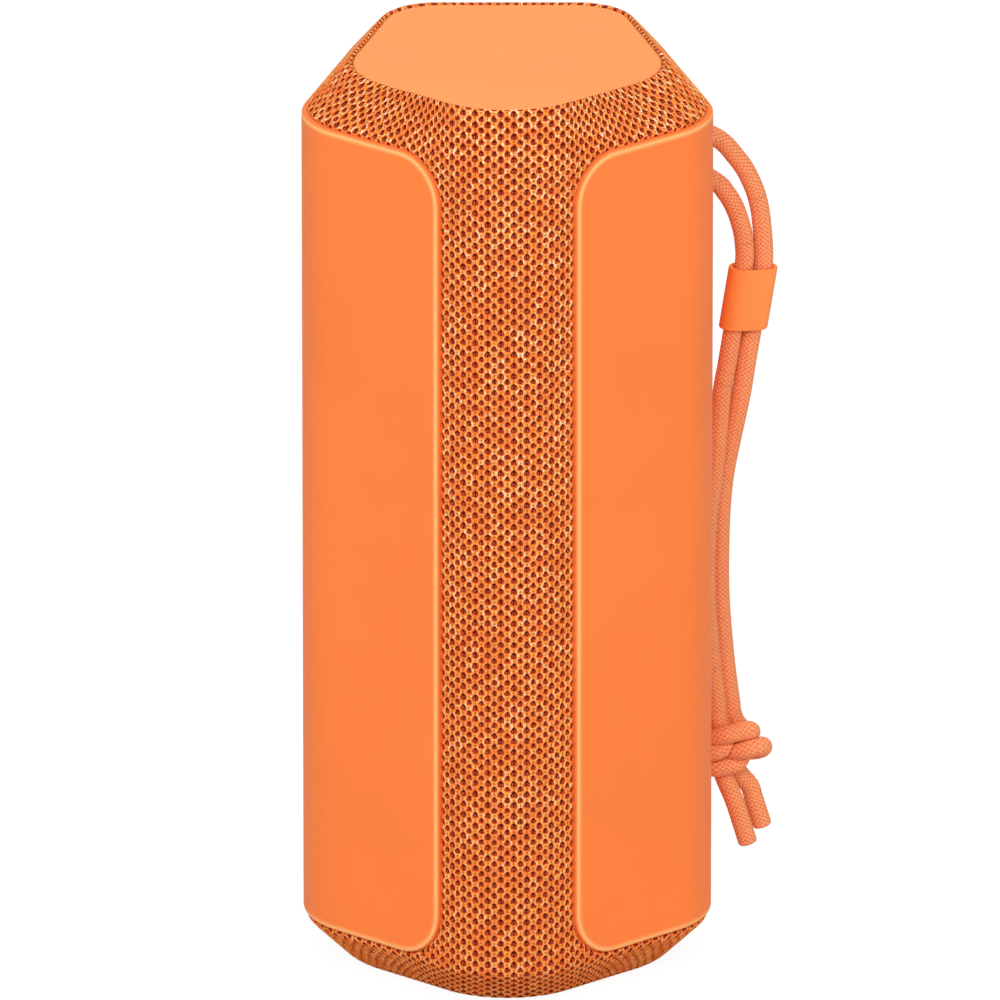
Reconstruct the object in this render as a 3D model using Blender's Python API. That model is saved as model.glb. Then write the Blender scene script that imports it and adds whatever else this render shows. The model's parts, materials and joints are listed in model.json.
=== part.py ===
"""Portable speaker: a rounded pentagon tower in knitted fabric, with smooth side panels and end plates, rear keys,
a port cover and a hand strap. Metres, +Z up, the front is -Y, and the origin is under the body's middle."""

from math import atan2, cos, pi, radians, sin, sqrt

import bmesh
import bpy
from mathutils import Matrix, Vector

# ---------------------------------------------------------------- driving dimensions

HEIGHT = 0.2040
DEPTH = 0.0930
FRONT_ANGLE = radians(41.0)  # how far each front wall turns back from straight ahead
SIDE_LEAN = radians(15.0)  # how far each side wall turns towards the back
SIDE_REACH = 0.0415  # from the middle to a side wall's fabric
FRONT_RADIUS = 0.0200
SIDE_RADIUS = 0.0200
BACK_RADIUS = 0.0120
TOP_CHAMFER = 0.0096
BASE_CHAMFER = 0.0090
FOOT_LIFT = 0.0006  # the fabric's lower rim stays this far above what the speaker stands on

GAP = 0.0003  # between pieces that rest on each other
ARC_STEP = radians(12.5)

FABRIC = 0.0010
RIM_DROP = 0.0003  # the end plates lie this far inside the fabric's rim
RIM_WIDTH = 0.0009
END_PLATE = 0.0018
END_PLATE_ROUND = 0.0004

PANEL_PROUD = 0.0006
PANEL_ROUND = 0.0005
PANEL_FRONT_X = 0.01465
PANEL_BACK_X = 0.0140
PANEL_CORNER = 0.0110
PANEL_BACK_CORNER = 0.0060
PANEL_TOP_DROP = 0.0099  # below the fabric's top
PANEL_BASE = 0.01045

REAR_PANEL_WIDTH = 0.0200
REAR_PANEL_LOW = 0.0300
REAR_PANEL_DROP = 0.0220  # below the fabric's top
REAR_PANEL_CORNER = 0.0080
REAR_PANEL_PROUD = 0.0007

KEY_RADIUS = 0.0045
KEY_TOP_DROP = 0.0340  # from the fabric's top to the highest key
KEY_LOW_Z = 0.0740
KEY_PROUD = 0.0005
KEY_TRAVEL = 0.0008
KEY_ROUND = 0.0005
KEY_NAMES = ("key_power", "key_pairing", "key_link", "key_volume_up", "key_play", "key_volume_down", "key_battery")
DOME_RADIUS = 0.0030
DOME_HEIGHT = 0.0003

PORT_WIDTH = 0.0130
PORT_LOW = 0.0380
PORT_HEIGHT = 0.0150
PORT_CORNER = 0.0030
PORT_COVER = 0.0015
PORT_SPACE = 0.0046  # free depth behind the cover
PORT_FLOOR = 0.0015
PORT_CUP = 0.0012  # wall of the cup behind the cabinet
SOCKET_WIDTH = 0.0090
SOCKET_HEIGHT = 0.0032
SOCKET_WALL = 0.0004
LENS_RADIUS = 0.0010
LENS_DROP = 0.0085  # below the lowest key

GRILLE_WALL = 0.0020
GRILLE_DEPTH = 0.0245  # from the front of the body to where the grille frame meets the baffle
SLOT_WIDTH = 0.0180
SLOT_HEIGHT = 0.0040
SLOT_PITCH = 0.0090
SLOT_MARGIN = 0.0140

BAFFLE = 0.0030
GASKET = 0.0011
CABINET_WALL = 0.0022
BOSS_RADIUS = 0.0028
BOSS_X = 0.0190

END_DEPTH = 0.0117  # from the body's end to the joint between shell and end frame
DECK = 0.0020
END_RIM = 0.0045  # the ledge that the end plate rests on
VENT_WIDTH = 0.0110
VENT_HEIGHT = 0.0026
VENT_ANGLES = (-62, -28, 28, 62, 118, 152, 208, 242)

DRIVER_WIDTH = 0.0460
DRIVER_HEIGHT = 0.0540
DRIVER_PITCH = 0.0720
DRIVER_CORNER = 0.0050
DRIVER_FLANGE = 0.0022
DRIVER_LIP = 0.0030  # width of the flange at its narrowest
MOUTH_CORNER = 0.0170
SHELF_WIDTH = 0.0020
SHELF_DEPTH = 0.0012
BASKET_WALL = 0.0014
BASKET_DEPTH = 0.0150
MAGNET_RADIUS = 0.0165
MAGNET_LENGTH = 0.0095
COIL_RADIUS = 0.0076
COIL_WALL = 0.0009
COIL_GAP = 0.0005
COIL_DEPTH = 0.0040
ROLL_SPAN = 0.0042
ROLL_HEIGHT = 0.0020
ROLL_SKIN = 0.0006
CONE_DEPTH = 0.0062
CONE_SKIN = 0.0007
CONE_TRAVEL = 0.0020
SCREW_HEAD = 0.0026
SCREW_HEAD_HEIGHT = 0.0016
SCREW_SHANK = 0.0013
SCREW_GRIP = 0.0012  # how far a screw reaches past the baffle
SCREW_INSET = 0.0046

DIFFUSER_DEPTH = 0.0115  # from the front of the body
DIFFUSER = 0.0020
DIFFUSER_SLOT = 0.0022
DIFFUSER_SLOTS = 4
DIFFUSER_MARGIN = 0.0120

RADIATOR_SPACE = 0.0048  # behind the radiator, inside the cabinet
RADIATOR_RIM = 0.0040
RADIATOR_FRAME = 0.0026
RADIATOR_ROLL = 0.0060
RADIATOR_ROLL_HEIGHT = 0.0028
RADIATOR_SKIN = 0.0007
RADIATOR_PLATE = 0.0024
DISH_RIM = 0.0066  # from a passive plate's edge to its dish
DISH_SHOULDER = 0.0049
DISH_LIP = 0.0007

BOARD = 0.0012
CHIP_SMALL = 0.0080
CHIP_LARGE = 0.0110
CHIP_HEIGHT = 0.0016
COIL_HEIGHT = 0.0032
MAIN_BOARD_WIDTH = 0.0460
MAIN_BOARD_MARGIN = 0.0030  # past the port at one end, past the highest key at the other
MAIN_BOARD_SPACE = 0.0065  # between the two boards' near faces
CELL_RADIUS = 0.0092
CELL_LENGTH = 0.0650
CELL_TIP = 0.0027
TRAY_WALL = 0.0016
TRAY_LIP = 0.0090

STRAP_DROP = 0.0236  # from the fabric's top to the strap's bar
STRAP_BACK = 0.0160  # along the side wall's flat, from the end of the side round
CORD_RADIUS = 0.0020
BAR_RADIUS = 0.0015
BAR_DEPTH = 0.0030
BAR_SEAT = 0.0008
CUP_WALL = 0.0012
CUP_SIDE_SPACE = 0.0020
CUP_ABOVE = 0.0083
CUP_BELOW = 0.0138
CUP_SPACE_BEHIND = 0.0006
CUP_MOUTH_DROP = 0.0002
STRAP_EXIT_DROP = radians(20.0)  # how far below level the strands leave the bar
SLIDER_WIDTH = 0.0107
SLIDER_THICKNESS = 0.0065
SLIDER_LENGTH = 0.0140
SLIDER_ROUND = 0.0005
PAIR_GAP = 0.0003
KNOT_RADII = (0.0062, 0.0060, 0.0068)
KNOT_RING = 0.0046
TAIL_ENDS = ((0.0514, 0.0150, 0.0172), (0.0546, 0.0194, 0.0196))

# The strands' routes, chosen by hand, for a bar at HUNG_FROM.
HUNG_FROM = (0.036092, 0.014055, 0.180400)
UPPER_ROUTE = ((0.0455, 0.0160, 0.1799), (0.0496, 0.0171, 0.1752), (0.0522, 0.0180, 0.1708), (0.0543, 0.0187, 0.1650),
               (0.0553, 0.0191, 0.1582))
LOWER_ROUTE = ((0.0447, 0.0158, 0.1703), (0.0474, 0.0166, 0.1672), (0.0493, 0.0173, 0.1636), (0.0506, 0.0178, 0.1596),
               (0.0513, 0.0181, 0.1560))
STRETCH_TOP = (0.05355, 0.0189, 0.1505)
STRETCH_END = (0.0486, 0.0176, 0.1195)
NEAR_ROUTE = ((0.0450, 0.0155, 0.1031), (0.0437, 0.0151, 0.0936), (0.04325, 0.0150, 0.0828), (0.0434, 0.0150, 0.0740),
              (0.0440, 0.0151, 0.0650), (0.0449, 0.0152, 0.0560))
FAR_ROUTE = ((0.0476, 0.0194, 0.1031), (0.0466, 0.0188, 0.0936), (0.0463, 0.0185, 0.0828), (0.0464, 0.0184, 0.0740),
             (0.0470, 0.0183, 0.0650), (0.0479, 0.0182, 0.0560))
KNOT_CENTRE = (0.0487, 0.0171, 0.0388)
NEAR_NECK = (0.0457, 0.0155, 0.0490)
FAR_NECK = (0.0488, 0.0184, 0.0490)

# ---------------------------------------------------------------- colours

ORANGE = (0.93, 0.24, 0.065)
PALE_ORANGE = (1.0, 0.38, 0.135)
FABRIC_ORANGE = (0.60, 0.11, 0.02)
CORD_ORANGE = (0.85, 0.23, 0.10)
CHARCOAL = (0.03, 0.03, 0.035)
BLACK_RUBBER = (0.015, 0.015, 0.015)
STEEL = (0.60, 0.60, 0.62)
MAGNET_GREY = (0.18, 0.18, 0.19)
BOARD_GREEN = (0.02, 0.16, 0.07)
CELL_BLUE = (0.05, 0.12, 0.35)
LENS_WHITE = (0.85, 0.85, 0.80)

# ---------------------------------------------------------------- derived places

BACK_REACH = DEPTH / 2 - REAR_PANEL_PROUD - KEY_PROUD
FRONT_REACH = FRONT_RADIUS + (DEPTH / 2 - FRONT_RADIUS) * cos(FRONT_ANGLE)
SKIN = FABRIC + GAP  # from the fabric's face to the housing's
CABINET_IN = SKIN + CABINET_WALL
SHELL_LOW = FOOT_LIFT + END_DEPTH + GAP
SHELL_HIGH = HEIGHT - END_DEPTH - GAP
GRILLE_END_Y = GRILLE_DEPTH - DEPTH / 2
DIFFUSER_Y = DIFFUSER_DEPTH - DEPTH / 2
BAFFLE_FRONT_Y = GRILLE_END_Y + GAP
BAFFLE_BACK_Y = BAFFLE_FRONT_Y + BAFFLE
GASKET_FRONT_Y = BAFFLE_BACK_Y + GAP
GASKET_BACK_Y = GASKET_FRONT_Y + GASKET
CABINET_FRONT_Y = GASKET_BACK_Y + GAP
CABINET_INNER_Y = BACK_REACH - CABINET_IN
KEY_BOARD_Y = CABINET_INNER_Y - GAP
REAR_PANEL_Y = BACK_REACH + REAR_PANEL_PROUD
PANEL_TOP = HEIGHT - PANEL_TOP_DROP
REAR_PANEL_HIGH = HEIGHT - REAR_PANEL_DROP
KEY_TOP_Z = HEIGHT - KEY_TOP_DROP
KEY_PITCH = (KEY_TOP_Z - KEY_LOW_Z) / (len(KEY_NAMES) - 1)
STRAP_Z = HEIGHT - STRAP_DROP
RADIATOR_RADIUS = (CABINET_INNER_Y - CABINET_FRONT_Y - RADIATOR_SPACE) / 2
RADIATOR_Y = CABINET_FRONT_Y + GAP + RADIATOR_RADIUS
WRAP_RADIUS = BAR_RADIUS + GAP + CORD_RADIUS


def unit(angle):
    return Vector((cos(angle), sin(angle)))


WALLS = (
    (-sin(FRONT_ANGLE), -cos(FRONT_ANGLE), FRONT_REACH),
    (sin(FRONT_ANGLE), -cos(FRONT_ANGLE), FRONT_REACH),
    (cos(SIDE_LEAN), sin(SIDE_LEAN), SIDE_REACH),
    (0.0, 1.0, BACK_REACH),
    (-cos(SIDE_LEAN), sin(SIDE_LEAN), SIDE_REACH),
)
RADII = (FRONT_RADIUS, SIDE_RADIUS, BACK_RADIUS, BACK_RADIUS, SIDE_RADIUS)


# ---------------------------------------------------------------- the body's plan


def corner(index, inset=0.0):
    """Centre, radius, first angle and turn of the round between a wall and the next, the walls moved in by inset."""
    ax, ay, first = WALLS[index]
    bx, by, second = WALLS[(index + 1) % len(WALLS)]
    radius = RADII[index]
    first -= inset + radius
    second -= inset + radius
    cross = ax * by - ay * bx
    centre = Vector(((first * by - second * ay) / cross, (second * ax - first * bx) / cross))
    start = atan2(ay, ax)
    turn = (atan2(by, bx) - start) % (2 * pi)
    return centre, radius, start, turn


def arc_steps(turn):
    return max(2, round(turn / ARC_STEP))


def outline(inset=0.0, offset=0.0):
    """The plan's points, anticlockwise: its walls moved in by inset, then the whole shrunk evenly by offset."""
    points = []
    for index in range(len(WALLS)):
        centre, radius, start, turn = corner(index, inset)
        steps = arc_steps(turn)
        for step in range(steps + 1):
            points.append(centre + (radius - offset) * unit(start + turn * step / steps))
    return points


def right_rounds():
    """The rounds that the right half of the plan passes, the front one from its middle, each with the flat after it."""
    rounds = []
    for index in (0, 1, 2):
        centre, radius, start, turn = corner(index)
        if index == 0:
            start += turn / 2
            turn /= 2
        rounds.append([centre, radius, start, turn, 0.0])
    for this, after in zip(rounds, rounds[1:]):
        end = this[0] + this[1] * unit(this[2] + this[3])
        begin = after[0] + after[1] * unit(after[2])
        this[4] = (begin - end).length
    last = rounds[-1]
    last[4] = (last[0] + last[1] * unit(last[2] + last[3])).x
    return rounds


ROUNDS = right_rounds()
HALF_LENGTH = sum(radius * turn + flat for _, radius, _, turn, flat in ROUNDS)
SIDE_FLAT_START = sum(radius * turn + flat for _, radius, _, turn, flat in ROUNDS[:2]) - ROUNDS[1][4]


def wall_point(along, offset=0.0):
    """A point of the plan's right half, a distance along it from the middle of the front, moved in by offset."""
    for centre, radius, start, turn, flat in ROUNDS:
        length = radius * turn
        if along <= length:
            return centre + (radius - offset) * unit(start + along / radius)
        along -= length
        if along <= flat:
            break
        along -= flat
    end = start + turn
    return centre + (radius - offset) * unit(end) + along * unit(end + pi / 2)


def bends():
    """Distances along the right half at which a bent plate needs a column: the steps of each round."""
    found = []
    along = 0.0
    for _, radius, _, turn, flat in ROUNDS:
        steps = arc_steps(turn)
        found += [along + radius * turn * step / steps for step in range(steps + 1)]
        along += radius * turn + flat
    return found


def half_width(y, offset):
    """Half the plan's width at a depth y, shrunk evenly by offset, by crossing its outline's sides."""
    points = outline(0.0, offset)
    widest = 0.0
    for a, b in zip(points, points[1:] + points[:1]):
        if (a.y - y) * (b.y - y) <= 0 and a.y != b.y:
            widest = max(widest, a.x + (b.x - a.x) * (y - a.y) / (b.y - a.y))
    return widest


# ---------------------------------------------------------------- materials and meshes


def clear_scene():
    for obj in list(bpy.data.objects):
        bpy.data.objects.remove(obj, do_unlink=True)


def material(name, colour, roughness=0.6, metallic=0.0):
    found = bpy.data.materials.get(name)
    if found:
        return found
    made = bpy.data.materials.new(name)
    made.use_nodes = True
    shader = made.node_tree.nodes["Principled BSDF"]
    shader.inputs["Base Color"].default_value = (*colour, 1.0)
    shader.inputs["Roughness"].default_value = roughness
    shader.inputs["Metallic"].default_value = metallic
    made.diffuse_color = (*colour, 1.0)
    return made


def finish(name, bm, look, origin=(0.0, 0.0, 0.0), sharp=35.0):
    """Turns a bmesh in world places into an object whose own origin is at origin."""
    bmesh.ops.recalc_face_normals(bm, faces=bm.faces)
    bmesh.ops.translate(bm, verts=bm.verts, vec=-Vector(origin))
    mesh = bpy.data.meshes.new(name)
    bm.to_mesh(mesh)
    bm.free()
    mesh.shade_smooth()
    mesh.set_sharp_from_angle(angle=radians(sharp))
    obj = bpy.data.objects.new(name, mesh)
    bpy.context.scene.collection.objects.link(obj)
    obj.location = origin
    if look:
        mesh.materials.append(look)
    return obj


def bridge(bm, first, second):
    count = len(first)
    for i in range(count):
        j = (i + 1) % count
        bm.faces.new((first[i], first[j], second[j], second[i]))


def add_stack(bm, loops, ring=False):
    """Joins loops of as many points each into one closed skin: capped at both ends, or closed on itself as a ring."""
    rows = [[bm.verts.new(point) for point in loop] for loop in loops]
    for first, second in zip(rows, rows[1:]):
        bridge(bm, first, second)
    if ring:
        bridge(bm, rows[-1], rows[0])
    else:
        bm.faces.new(rows[0])
        bm.faces.new(rows[-1])


def stack(name, loops, look, ring=False, origin=(0.0, 0.0, 0.0)):
    bm = bmesh.new()
    add_stack(bm, loops, ring)
    return finish(name, bm, look, origin)


def cutter(obj):
    obj.hide_render = True
    obj.display_type = "WIRE"
    return obj


def cut(obj, tool):
    step = obj.modifiers.new("cut_" + tool.name, "BOOLEAN")
    step.operation = "DIFFERENCE"
    step.solver = "EXACT"
    step.object = tool


def join(obj, tool):
    step = obj.modifiers.new("join_" + tool.name, "BOOLEAN")
    step.operation = "UNION"
    step.solver = "EXACT"
    step.object = cutter(tool)


def pivot(name, place):
    """An empty on a joint's axis, which carries the pieces that move on it."""
    empty = bpy.data.objects.new(name, None)
    bpy.context.scene.collection.objects.link(empty)
    empty.location = place
    empty.empty_display_size = 0.005
    return empty


def carry(empty, obj):
    obj.parent = empty
    obj.location = obj.location - empty.location


# ---------------------------------------------------------------- flat shapes, and where they are put


def circle(radius, steps=24, middle=(0.0, 0.0)):
    return [Vector(middle) + radius * unit(2 * pi * step / steps) for step in range(steps)]


def rounded_box(width, height, radius, steps=5, middle=(0.0, 0.0)):
    """A rectangle with round corners, anticlockwise from its right side."""
    x, y = width / 2 - radius, height / 2 - radius
    points = []
    for quarter, (sx, sy) in enumerate(((1, 1), (-1, 1), (-1, -1), (1, -1))):
        for step in range(steps + 1):
            corner_middle = Vector(middle) + Vector((sx * x, sy * y))
            points.append(corner_middle + radius * unit(pi / 2 * (quarter + step / steps)))
    return points


def axes(origin, right, up):
    """A frame whose X and Y are the flat shape's, and whose Z is its outward direction."""
    right, up = Vector(right).normalized(), Vector(up).normalized()
    out = right.cross(up)
    frame = Matrix((right, up, out)).transposed().to_4x4()
    frame.translation = Vector(origin)
    return frame


def put(frame, points, height):
    return [frame @ Vector((point.x, point.y, height)) for point in points]


def level(points, z):
    return [Vector((point.x, point.y, z)) for point in points]


def box_points(low, high):
    return [Vector((low[0], low[1])), Vector((high[0], low[1])), Vector((high[0], high[1])), Vector((low[0], high[1]))]


def add_box(bm, low, high):
    flat = box_points(low, high)
    add_stack(bm, [level(flat, low[2]), level(flat, high[2])])


FRONT = ((1, 0, 0), (0, 0, 1))
REAR = ((-1, 0, 0), (0, 0, 1))


# ---------------------------------------------------------------- looks


def looks():
    return {
        "panel": material("panel_plastic", ORANGE, 0.5),
        "plate": material("end_plastic", PALE_ORANGE, 0.5),
        "fabric": material("knit_fabric", FABRIC_ORANGE, 0.9),
        "cord": material("braided_cord", CORD_ORANGE, 0.85),
        "housing": material("housing_plastic", CHARCOAL, 0.6),
        "rubber": material("black_rubber", BLACK_RUBBER, 0.8),
        "steel": material("steel", STEEL, 0.35, 1.0),
        "magnet": material("magnet", MAGNET_GREY, 0.4, 0.8),
        "board": material("board", BOARD_GREEN, 0.5),
        "cell": material("cell", CELL_BLUE, 0.4),
        "lens": material("lens", LENS_WHITE, 0.3),
    }


# ---------------------------------------------------------------- ends


class End:
    """One end of the body. Depths run inwards from the fabric's rim."""

    def __init__(self, name, face_z, inwards, chamfer):
        self.name = name
        self.face_z = face_z
        self.inwards = inwards
        self.chamfer = chamfer
        self.plate_inset = chamfer + RIM_WIDTH + GAP

    def z(self, depth):
        return self.face_z + self.inwards * depth

    def slope(self, inset, skin):
        """Depth of the chamfer at an inset, on a surface a skin's thickness below the fabric's face."""
        return self.chamfer - inset + sqrt(2) * skin

    def slope_inset(self, depth, skin):
        return self.chamfer - depth + sqrt(2) * skin

    def shoulder(self, skin):
        """Depth at which the chamfer meets the wall on that surface."""
        return self.chamfer + (sqrt(2) - 1) * skin


TOP = End("top", HEIGHT, -1, TOP_CHAMFER)
BASE = End("bottom", FOOT_LIFT, 1, BASE_CHAMFER)
PLATE_BED = RIM_DROP + END_PLATE + GAP  # depth of the ledge under an end plate


def fabric_half(end):
    """The fabric's section at one end, from its outer shoulder over the rim to its inner shoulder."""
    rim = end.chamfer + RIM_WIDTH
    tuck = PLATE_BED - GAP
    return [
        level(outline(0.0), end.z(end.chamfer)),
        level(outline(end.chamfer - 2 * RIM_DROP), end.z(2 * RIM_DROP)),
        level(outline(end.chamfer + RIM_DROP), end.z(0.0)),
        level(outline(rim), end.z(RIM_DROP)),
        level(outline(rim), end.z(tuck)),
        level(outline(end.slope_inset(tuck, FABRIC)), end.z(tuck)),
        level(outline(0.0, FABRIC), end.z(end.shoulder(FABRIC))),
    ]


def fabric_cover(look):
    loops = fabric_half(TOP) + fabric_half(BASE)[::-1]
    cover = stack("fabric_cover", loops, look, ring=True)
    for mirrored in (False, True):
        window = side_plate("window_" + ("left" if mirrored else "right"), None, mirrored, PANEL_WINDOW)
        cut(cover, cutter(window))
    cut(cover, rear_window())
    return cover


def end_plate(end, name, look, proud):
    """The plate that closes an end. It stands proud of the fabric's rim by proud, or lies inside it."""
    inset = end.plate_inset
    face = -proud
    loops = [
        level(outline(inset), end.z(RIM_DROP + END_PLATE)),
        level(outline(inset), end.z(face + END_PLATE_ROUND)),
        level(outline(inset + 0.3 * END_PLATE_ROUND), end.z(face + 0.3 * END_PLATE_ROUND)),
        level(outline(inset + END_PLATE_ROUND), end.z(face)),
    ]
    return stack(name, loops, look)


def end_frame(end, look):
    """The crown under the fabric at one end: wall, chamfer with vents, ledge for the plate, and the radiator's deck."""
    inner = SKIN + GRILLE_WALL
    ledge = end.plate_inset + END_RIM
    ledge_under = PLATE_BED + GRILLE_WALL
    deck_top = END_DEPTH - DECK
    loops = [
        level(outline(0.0, SKIN), end.z(END_DEPTH)),
        level(outline(0.0, SKIN), end.z(end.shoulder(SKIN))),
        level(outline(end.slope_inset(PLATE_BED, SKIN)), end.z(PLATE_BED)),
        level(outline(ledge), end.z(PLATE_BED)),
        level(outline(ledge), end.z(ledge_under)),
        level(outline(end.slope_inset(ledge_under, inner)), end.z(ledge_under)),
        level(outline(end.slope_inset(deck_top, inner)), end.z(deck_top)),
    ]
    frame = stack(end.name + "_end_frame", loops, look)
    bm = bmesh.new()
    hole = circle(RADIATOR_RADIUS - RADIATOR_RIM, 24, (0.0, RADIATOR_Y))
    add_stack(bm, [level(hole, end.z(END_DEPTH + DECK)), level(hole, end.z(deck_top - DECK))])
    middle = end.z(end.chamfer / 2 + SKIN)
    for angle in VENT_ANGLES:
        turn = Matrix.Rotation(radians(angle), 4, "Z")
        low = (SIDE_REACH / 2, -VENT_WIDTH / 2, middle - VENT_HEIGHT / 2)
        high = (2 * SIDE_REACH, VENT_WIDTH / 2, middle + VENT_HEIGHT / 2)
        start = len(bm.verts)
        add_box(bm, low, high)
        bm.verts.ensure_lookup_table()
        bmesh.ops.transform(bm, matrix=turn, verts=bm.verts[start:])
    cut(frame, cutter(finish(end.name + "_vents", bm, None)))
    return frame


# ---------------------------------------------------------------- side panels


PANEL_FRONT = FRONT_RADIUS * FRONT_ANGLE + (PANEL_FRONT_X - FRONT_RADIUS * sin(FRONT_ANGLE)) / cos(FRONT_ANGLE)
PANEL_BACK = HALF_LENGTH - PANEL_BACK_X
PANEL_LAYERS = (
    (FABRIC, 0.0),
    (-PANEL_PROUD + PANEL_ROUND, 0.0),
    (-PANEL_PROUD + 0.3 * PANEL_ROUND, 0.3 * PANEL_ROUND),
    (-PANEL_PROUD, PANEL_ROUND),
)
PANEL_WINDOW = ((4 * FABRIC, -GAP), (-4 * FABRIC, -GAP))


def panel_columns(edge):
    """Columns (distance along the wall, low, high) of a panel whose border is drawn in by edge."""
    front, back = PANEL_FRONT + edge, PANEL_BACK - edge
    low, high = PANEL_BASE + edge, PANEL_TOP - edge
    columns = []
    for radius, end, direction in ((PANEL_CORNER - edge, front, 1), (PANEL_BACK_CORNER - edge, back, -1)):
        side = []
        for step in range(7):
            angle = pi / 2 * step / 6
            drop = radius * (1 - sin(angle))
            side.append((end + direction * radius * (1 - cos(angle)), low + drop, high - drop))
        columns.append(side)
    middle = [(s, low, high) for s in bends() if PANEL_FRONT + PANEL_CORNER < s < PANEL_BACK - PANEL_BACK_CORNER]
    return columns[0] + middle + columns[1][::-1]


def side_plate(name, look, mirrored, layers):
    """A plate bent round the side of the body, its layers given as (offset, edge) from the inside out."""
    sign = -1 if mirrored else 1
    bm = bmesh.new()
    rows = []
    for offset, edge in layers:
        low_row, high_row = [], []
        for along, low, high in panel_columns(edge):
            place = wall_point(along, offset)
            low_row.append(bm.verts.new((sign * place.x, place.y, low)))
            high_row.append(bm.verts.new((sign * place.x, place.y, high)))
        rows.append((low_row, high_row))
    for (low_a, high_a), (low_b, high_b) in zip(rows, rows[1:]):
        bridge(bm, low_a + high_a[::-1], low_b + high_b[::-1])
    for low_row, high_row in (rows[0], rows[-1]):
        for i in range(len(low_row) - 1):
            bm.faces.new((low_row[i], low_row[i + 1], high_row[i + 1], high_row[i]))
    return finish(name, bm, look)


# ---------------------------------------------------------------- rear panel, keys and port


KEY_HEIGHTS = [KEY_TOP_Z - KEY_PITCH * index for index in range(len(KEY_NAMES))]
REAR_MIDDLE = (REAR_PANEL_LOW + REAR_PANEL_HIGH) / 2
PORT_MIDDLE = PORT_LOW + PORT_HEIGHT / 2
LENS_Z = KEY_HEIGHTS[-1] - LENS_DROP
KEY_BACK_Y = KEY_BOARD_Y + DOME_HEIGHT + KEY_TRAVEL + GAP / 3
PORT_FLOOR_Y = REAR_PANEL_Y - PORT_COVER - PORT_SPACE


def rear_frame(z, y=0.0):
    return axes((0.0, y, z), *REAR)


def rear_window():
    height = REAR_PANEL_HIGH - REAR_PANEL_LOW
    shape = rounded_box(REAR_PANEL_WIDTH + 2 * GAP, height + 2 * GAP, REAR_PANEL_CORNER + GAP)
    frame = rear_frame(REAR_MIDDLE, BACK_REACH)
    return cutter(stack("window_rear", [put(frame, shape, -4 * FABRIC), put(frame, shape, 4 * FABRIC)], None))


def rear_holes():
    """The cutter for what passes through the rear panel and the cabinet: keys, status lens and port."""
    bm = bmesh.new()
    near, far = CABINET_INNER_Y - CABINET_WALL, REAR_PANEL_Y + CABINET_WALL
    for z in KEY_HEIGHTS:
        shape = circle(KEY_RADIUS + GAP, 16)
        add_stack(bm, [put(rear_frame(z), shape, near), put(rear_frame(z), shape, far)])
    shape = circle(LENS_RADIUS + GAP, 10)
    add_stack(bm, [put(rear_frame(LENS_Z), shape, near), put(rear_frame(LENS_Z), shape, far)])
    shape = rounded_box(PORT_WIDTH + 2 * GAP, PORT_HEIGHT + 2 * GAP, PORT_CORNER + GAP, 4)
    add_stack(bm, [put(rear_frame(PORT_MIDDLE), shape, near), put(rear_frame(PORT_MIDDLE), shape, far)])
    return cutter(finish("rear_holes", bm, None))


def rear_panel(look, holes):
    width, height = REAR_PANEL_WIDTH, REAR_PANEL_HIGH - REAR_PANEL_LOW
    frame = rear_frame(REAR_MIDDLE, BACK_REACH)
    loops = []
    for out, edge in ((-FABRIC, 0.0), (REAR_PANEL_PROUD - PANEL_ROUND, 0.0), (REAR_PANEL_PROUD, PANEL_ROUND)):
        shape = rounded_box(width - 2 * edge, height - 2 * edge, REAR_PANEL_CORNER - edge)
        loops.append(put(frame, shape, out))
    panel = stack("rear_panel", loops, look)
    cut(panel, holes)
    return panel


def keys(look):
    face = REAR_PANEL_Y + KEY_PROUD
    for name, z in zip(KEY_NAMES, KEY_HEIGHTS):
        frame = rear_frame(z)
        loops = [
            put(frame, circle(KEY_RADIUS, 16), KEY_BACK_Y),
            put(frame, circle(KEY_RADIUS, 16), face - KEY_ROUND),
            put(frame, circle(KEY_RADIUS - KEY_ROUND, 16), face),
        ]
        stack(name, loops, look, origin=(0.0, KEY_BACK_Y, z))


def status_lens(look):
    frame = rear_frame(LENS_Z)
    shape = circle(LENS_RADIUS, 10)
    stack("status_lens", [put(frame, shape, KEY_BOARD_Y + GAP), put(frame, shape, REAR_PANEL_Y)], look)


def port_cover(look):
    """A flap as deep as the rear panel is proud, hinged on its lower outer edge."""
    frame = rear_frame(PORT_MIDDLE)
    shape = rounded_box(PORT_WIDTH, PORT_HEIGHT, PORT_CORNER, 4)
    inner = rounded_box(PORT_WIDTH - PANEL_ROUND, PORT_HEIGHT - PANEL_ROUND, PORT_CORNER - PANEL_ROUND / 2, 4)
    loops = [
        put(frame, shape, REAR_PANEL_Y - PORT_COVER),
        put(frame, shape, REAR_PANEL_Y - PANEL_ROUND / 2),
        put(frame, inner, REAR_PANEL_Y),
    ]
    flap = stack("port_cover", loops, look)
    carry(pivot("port_cover_axis", (0.0, REAR_PANEL_Y, PORT_LOW)), flap)


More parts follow.
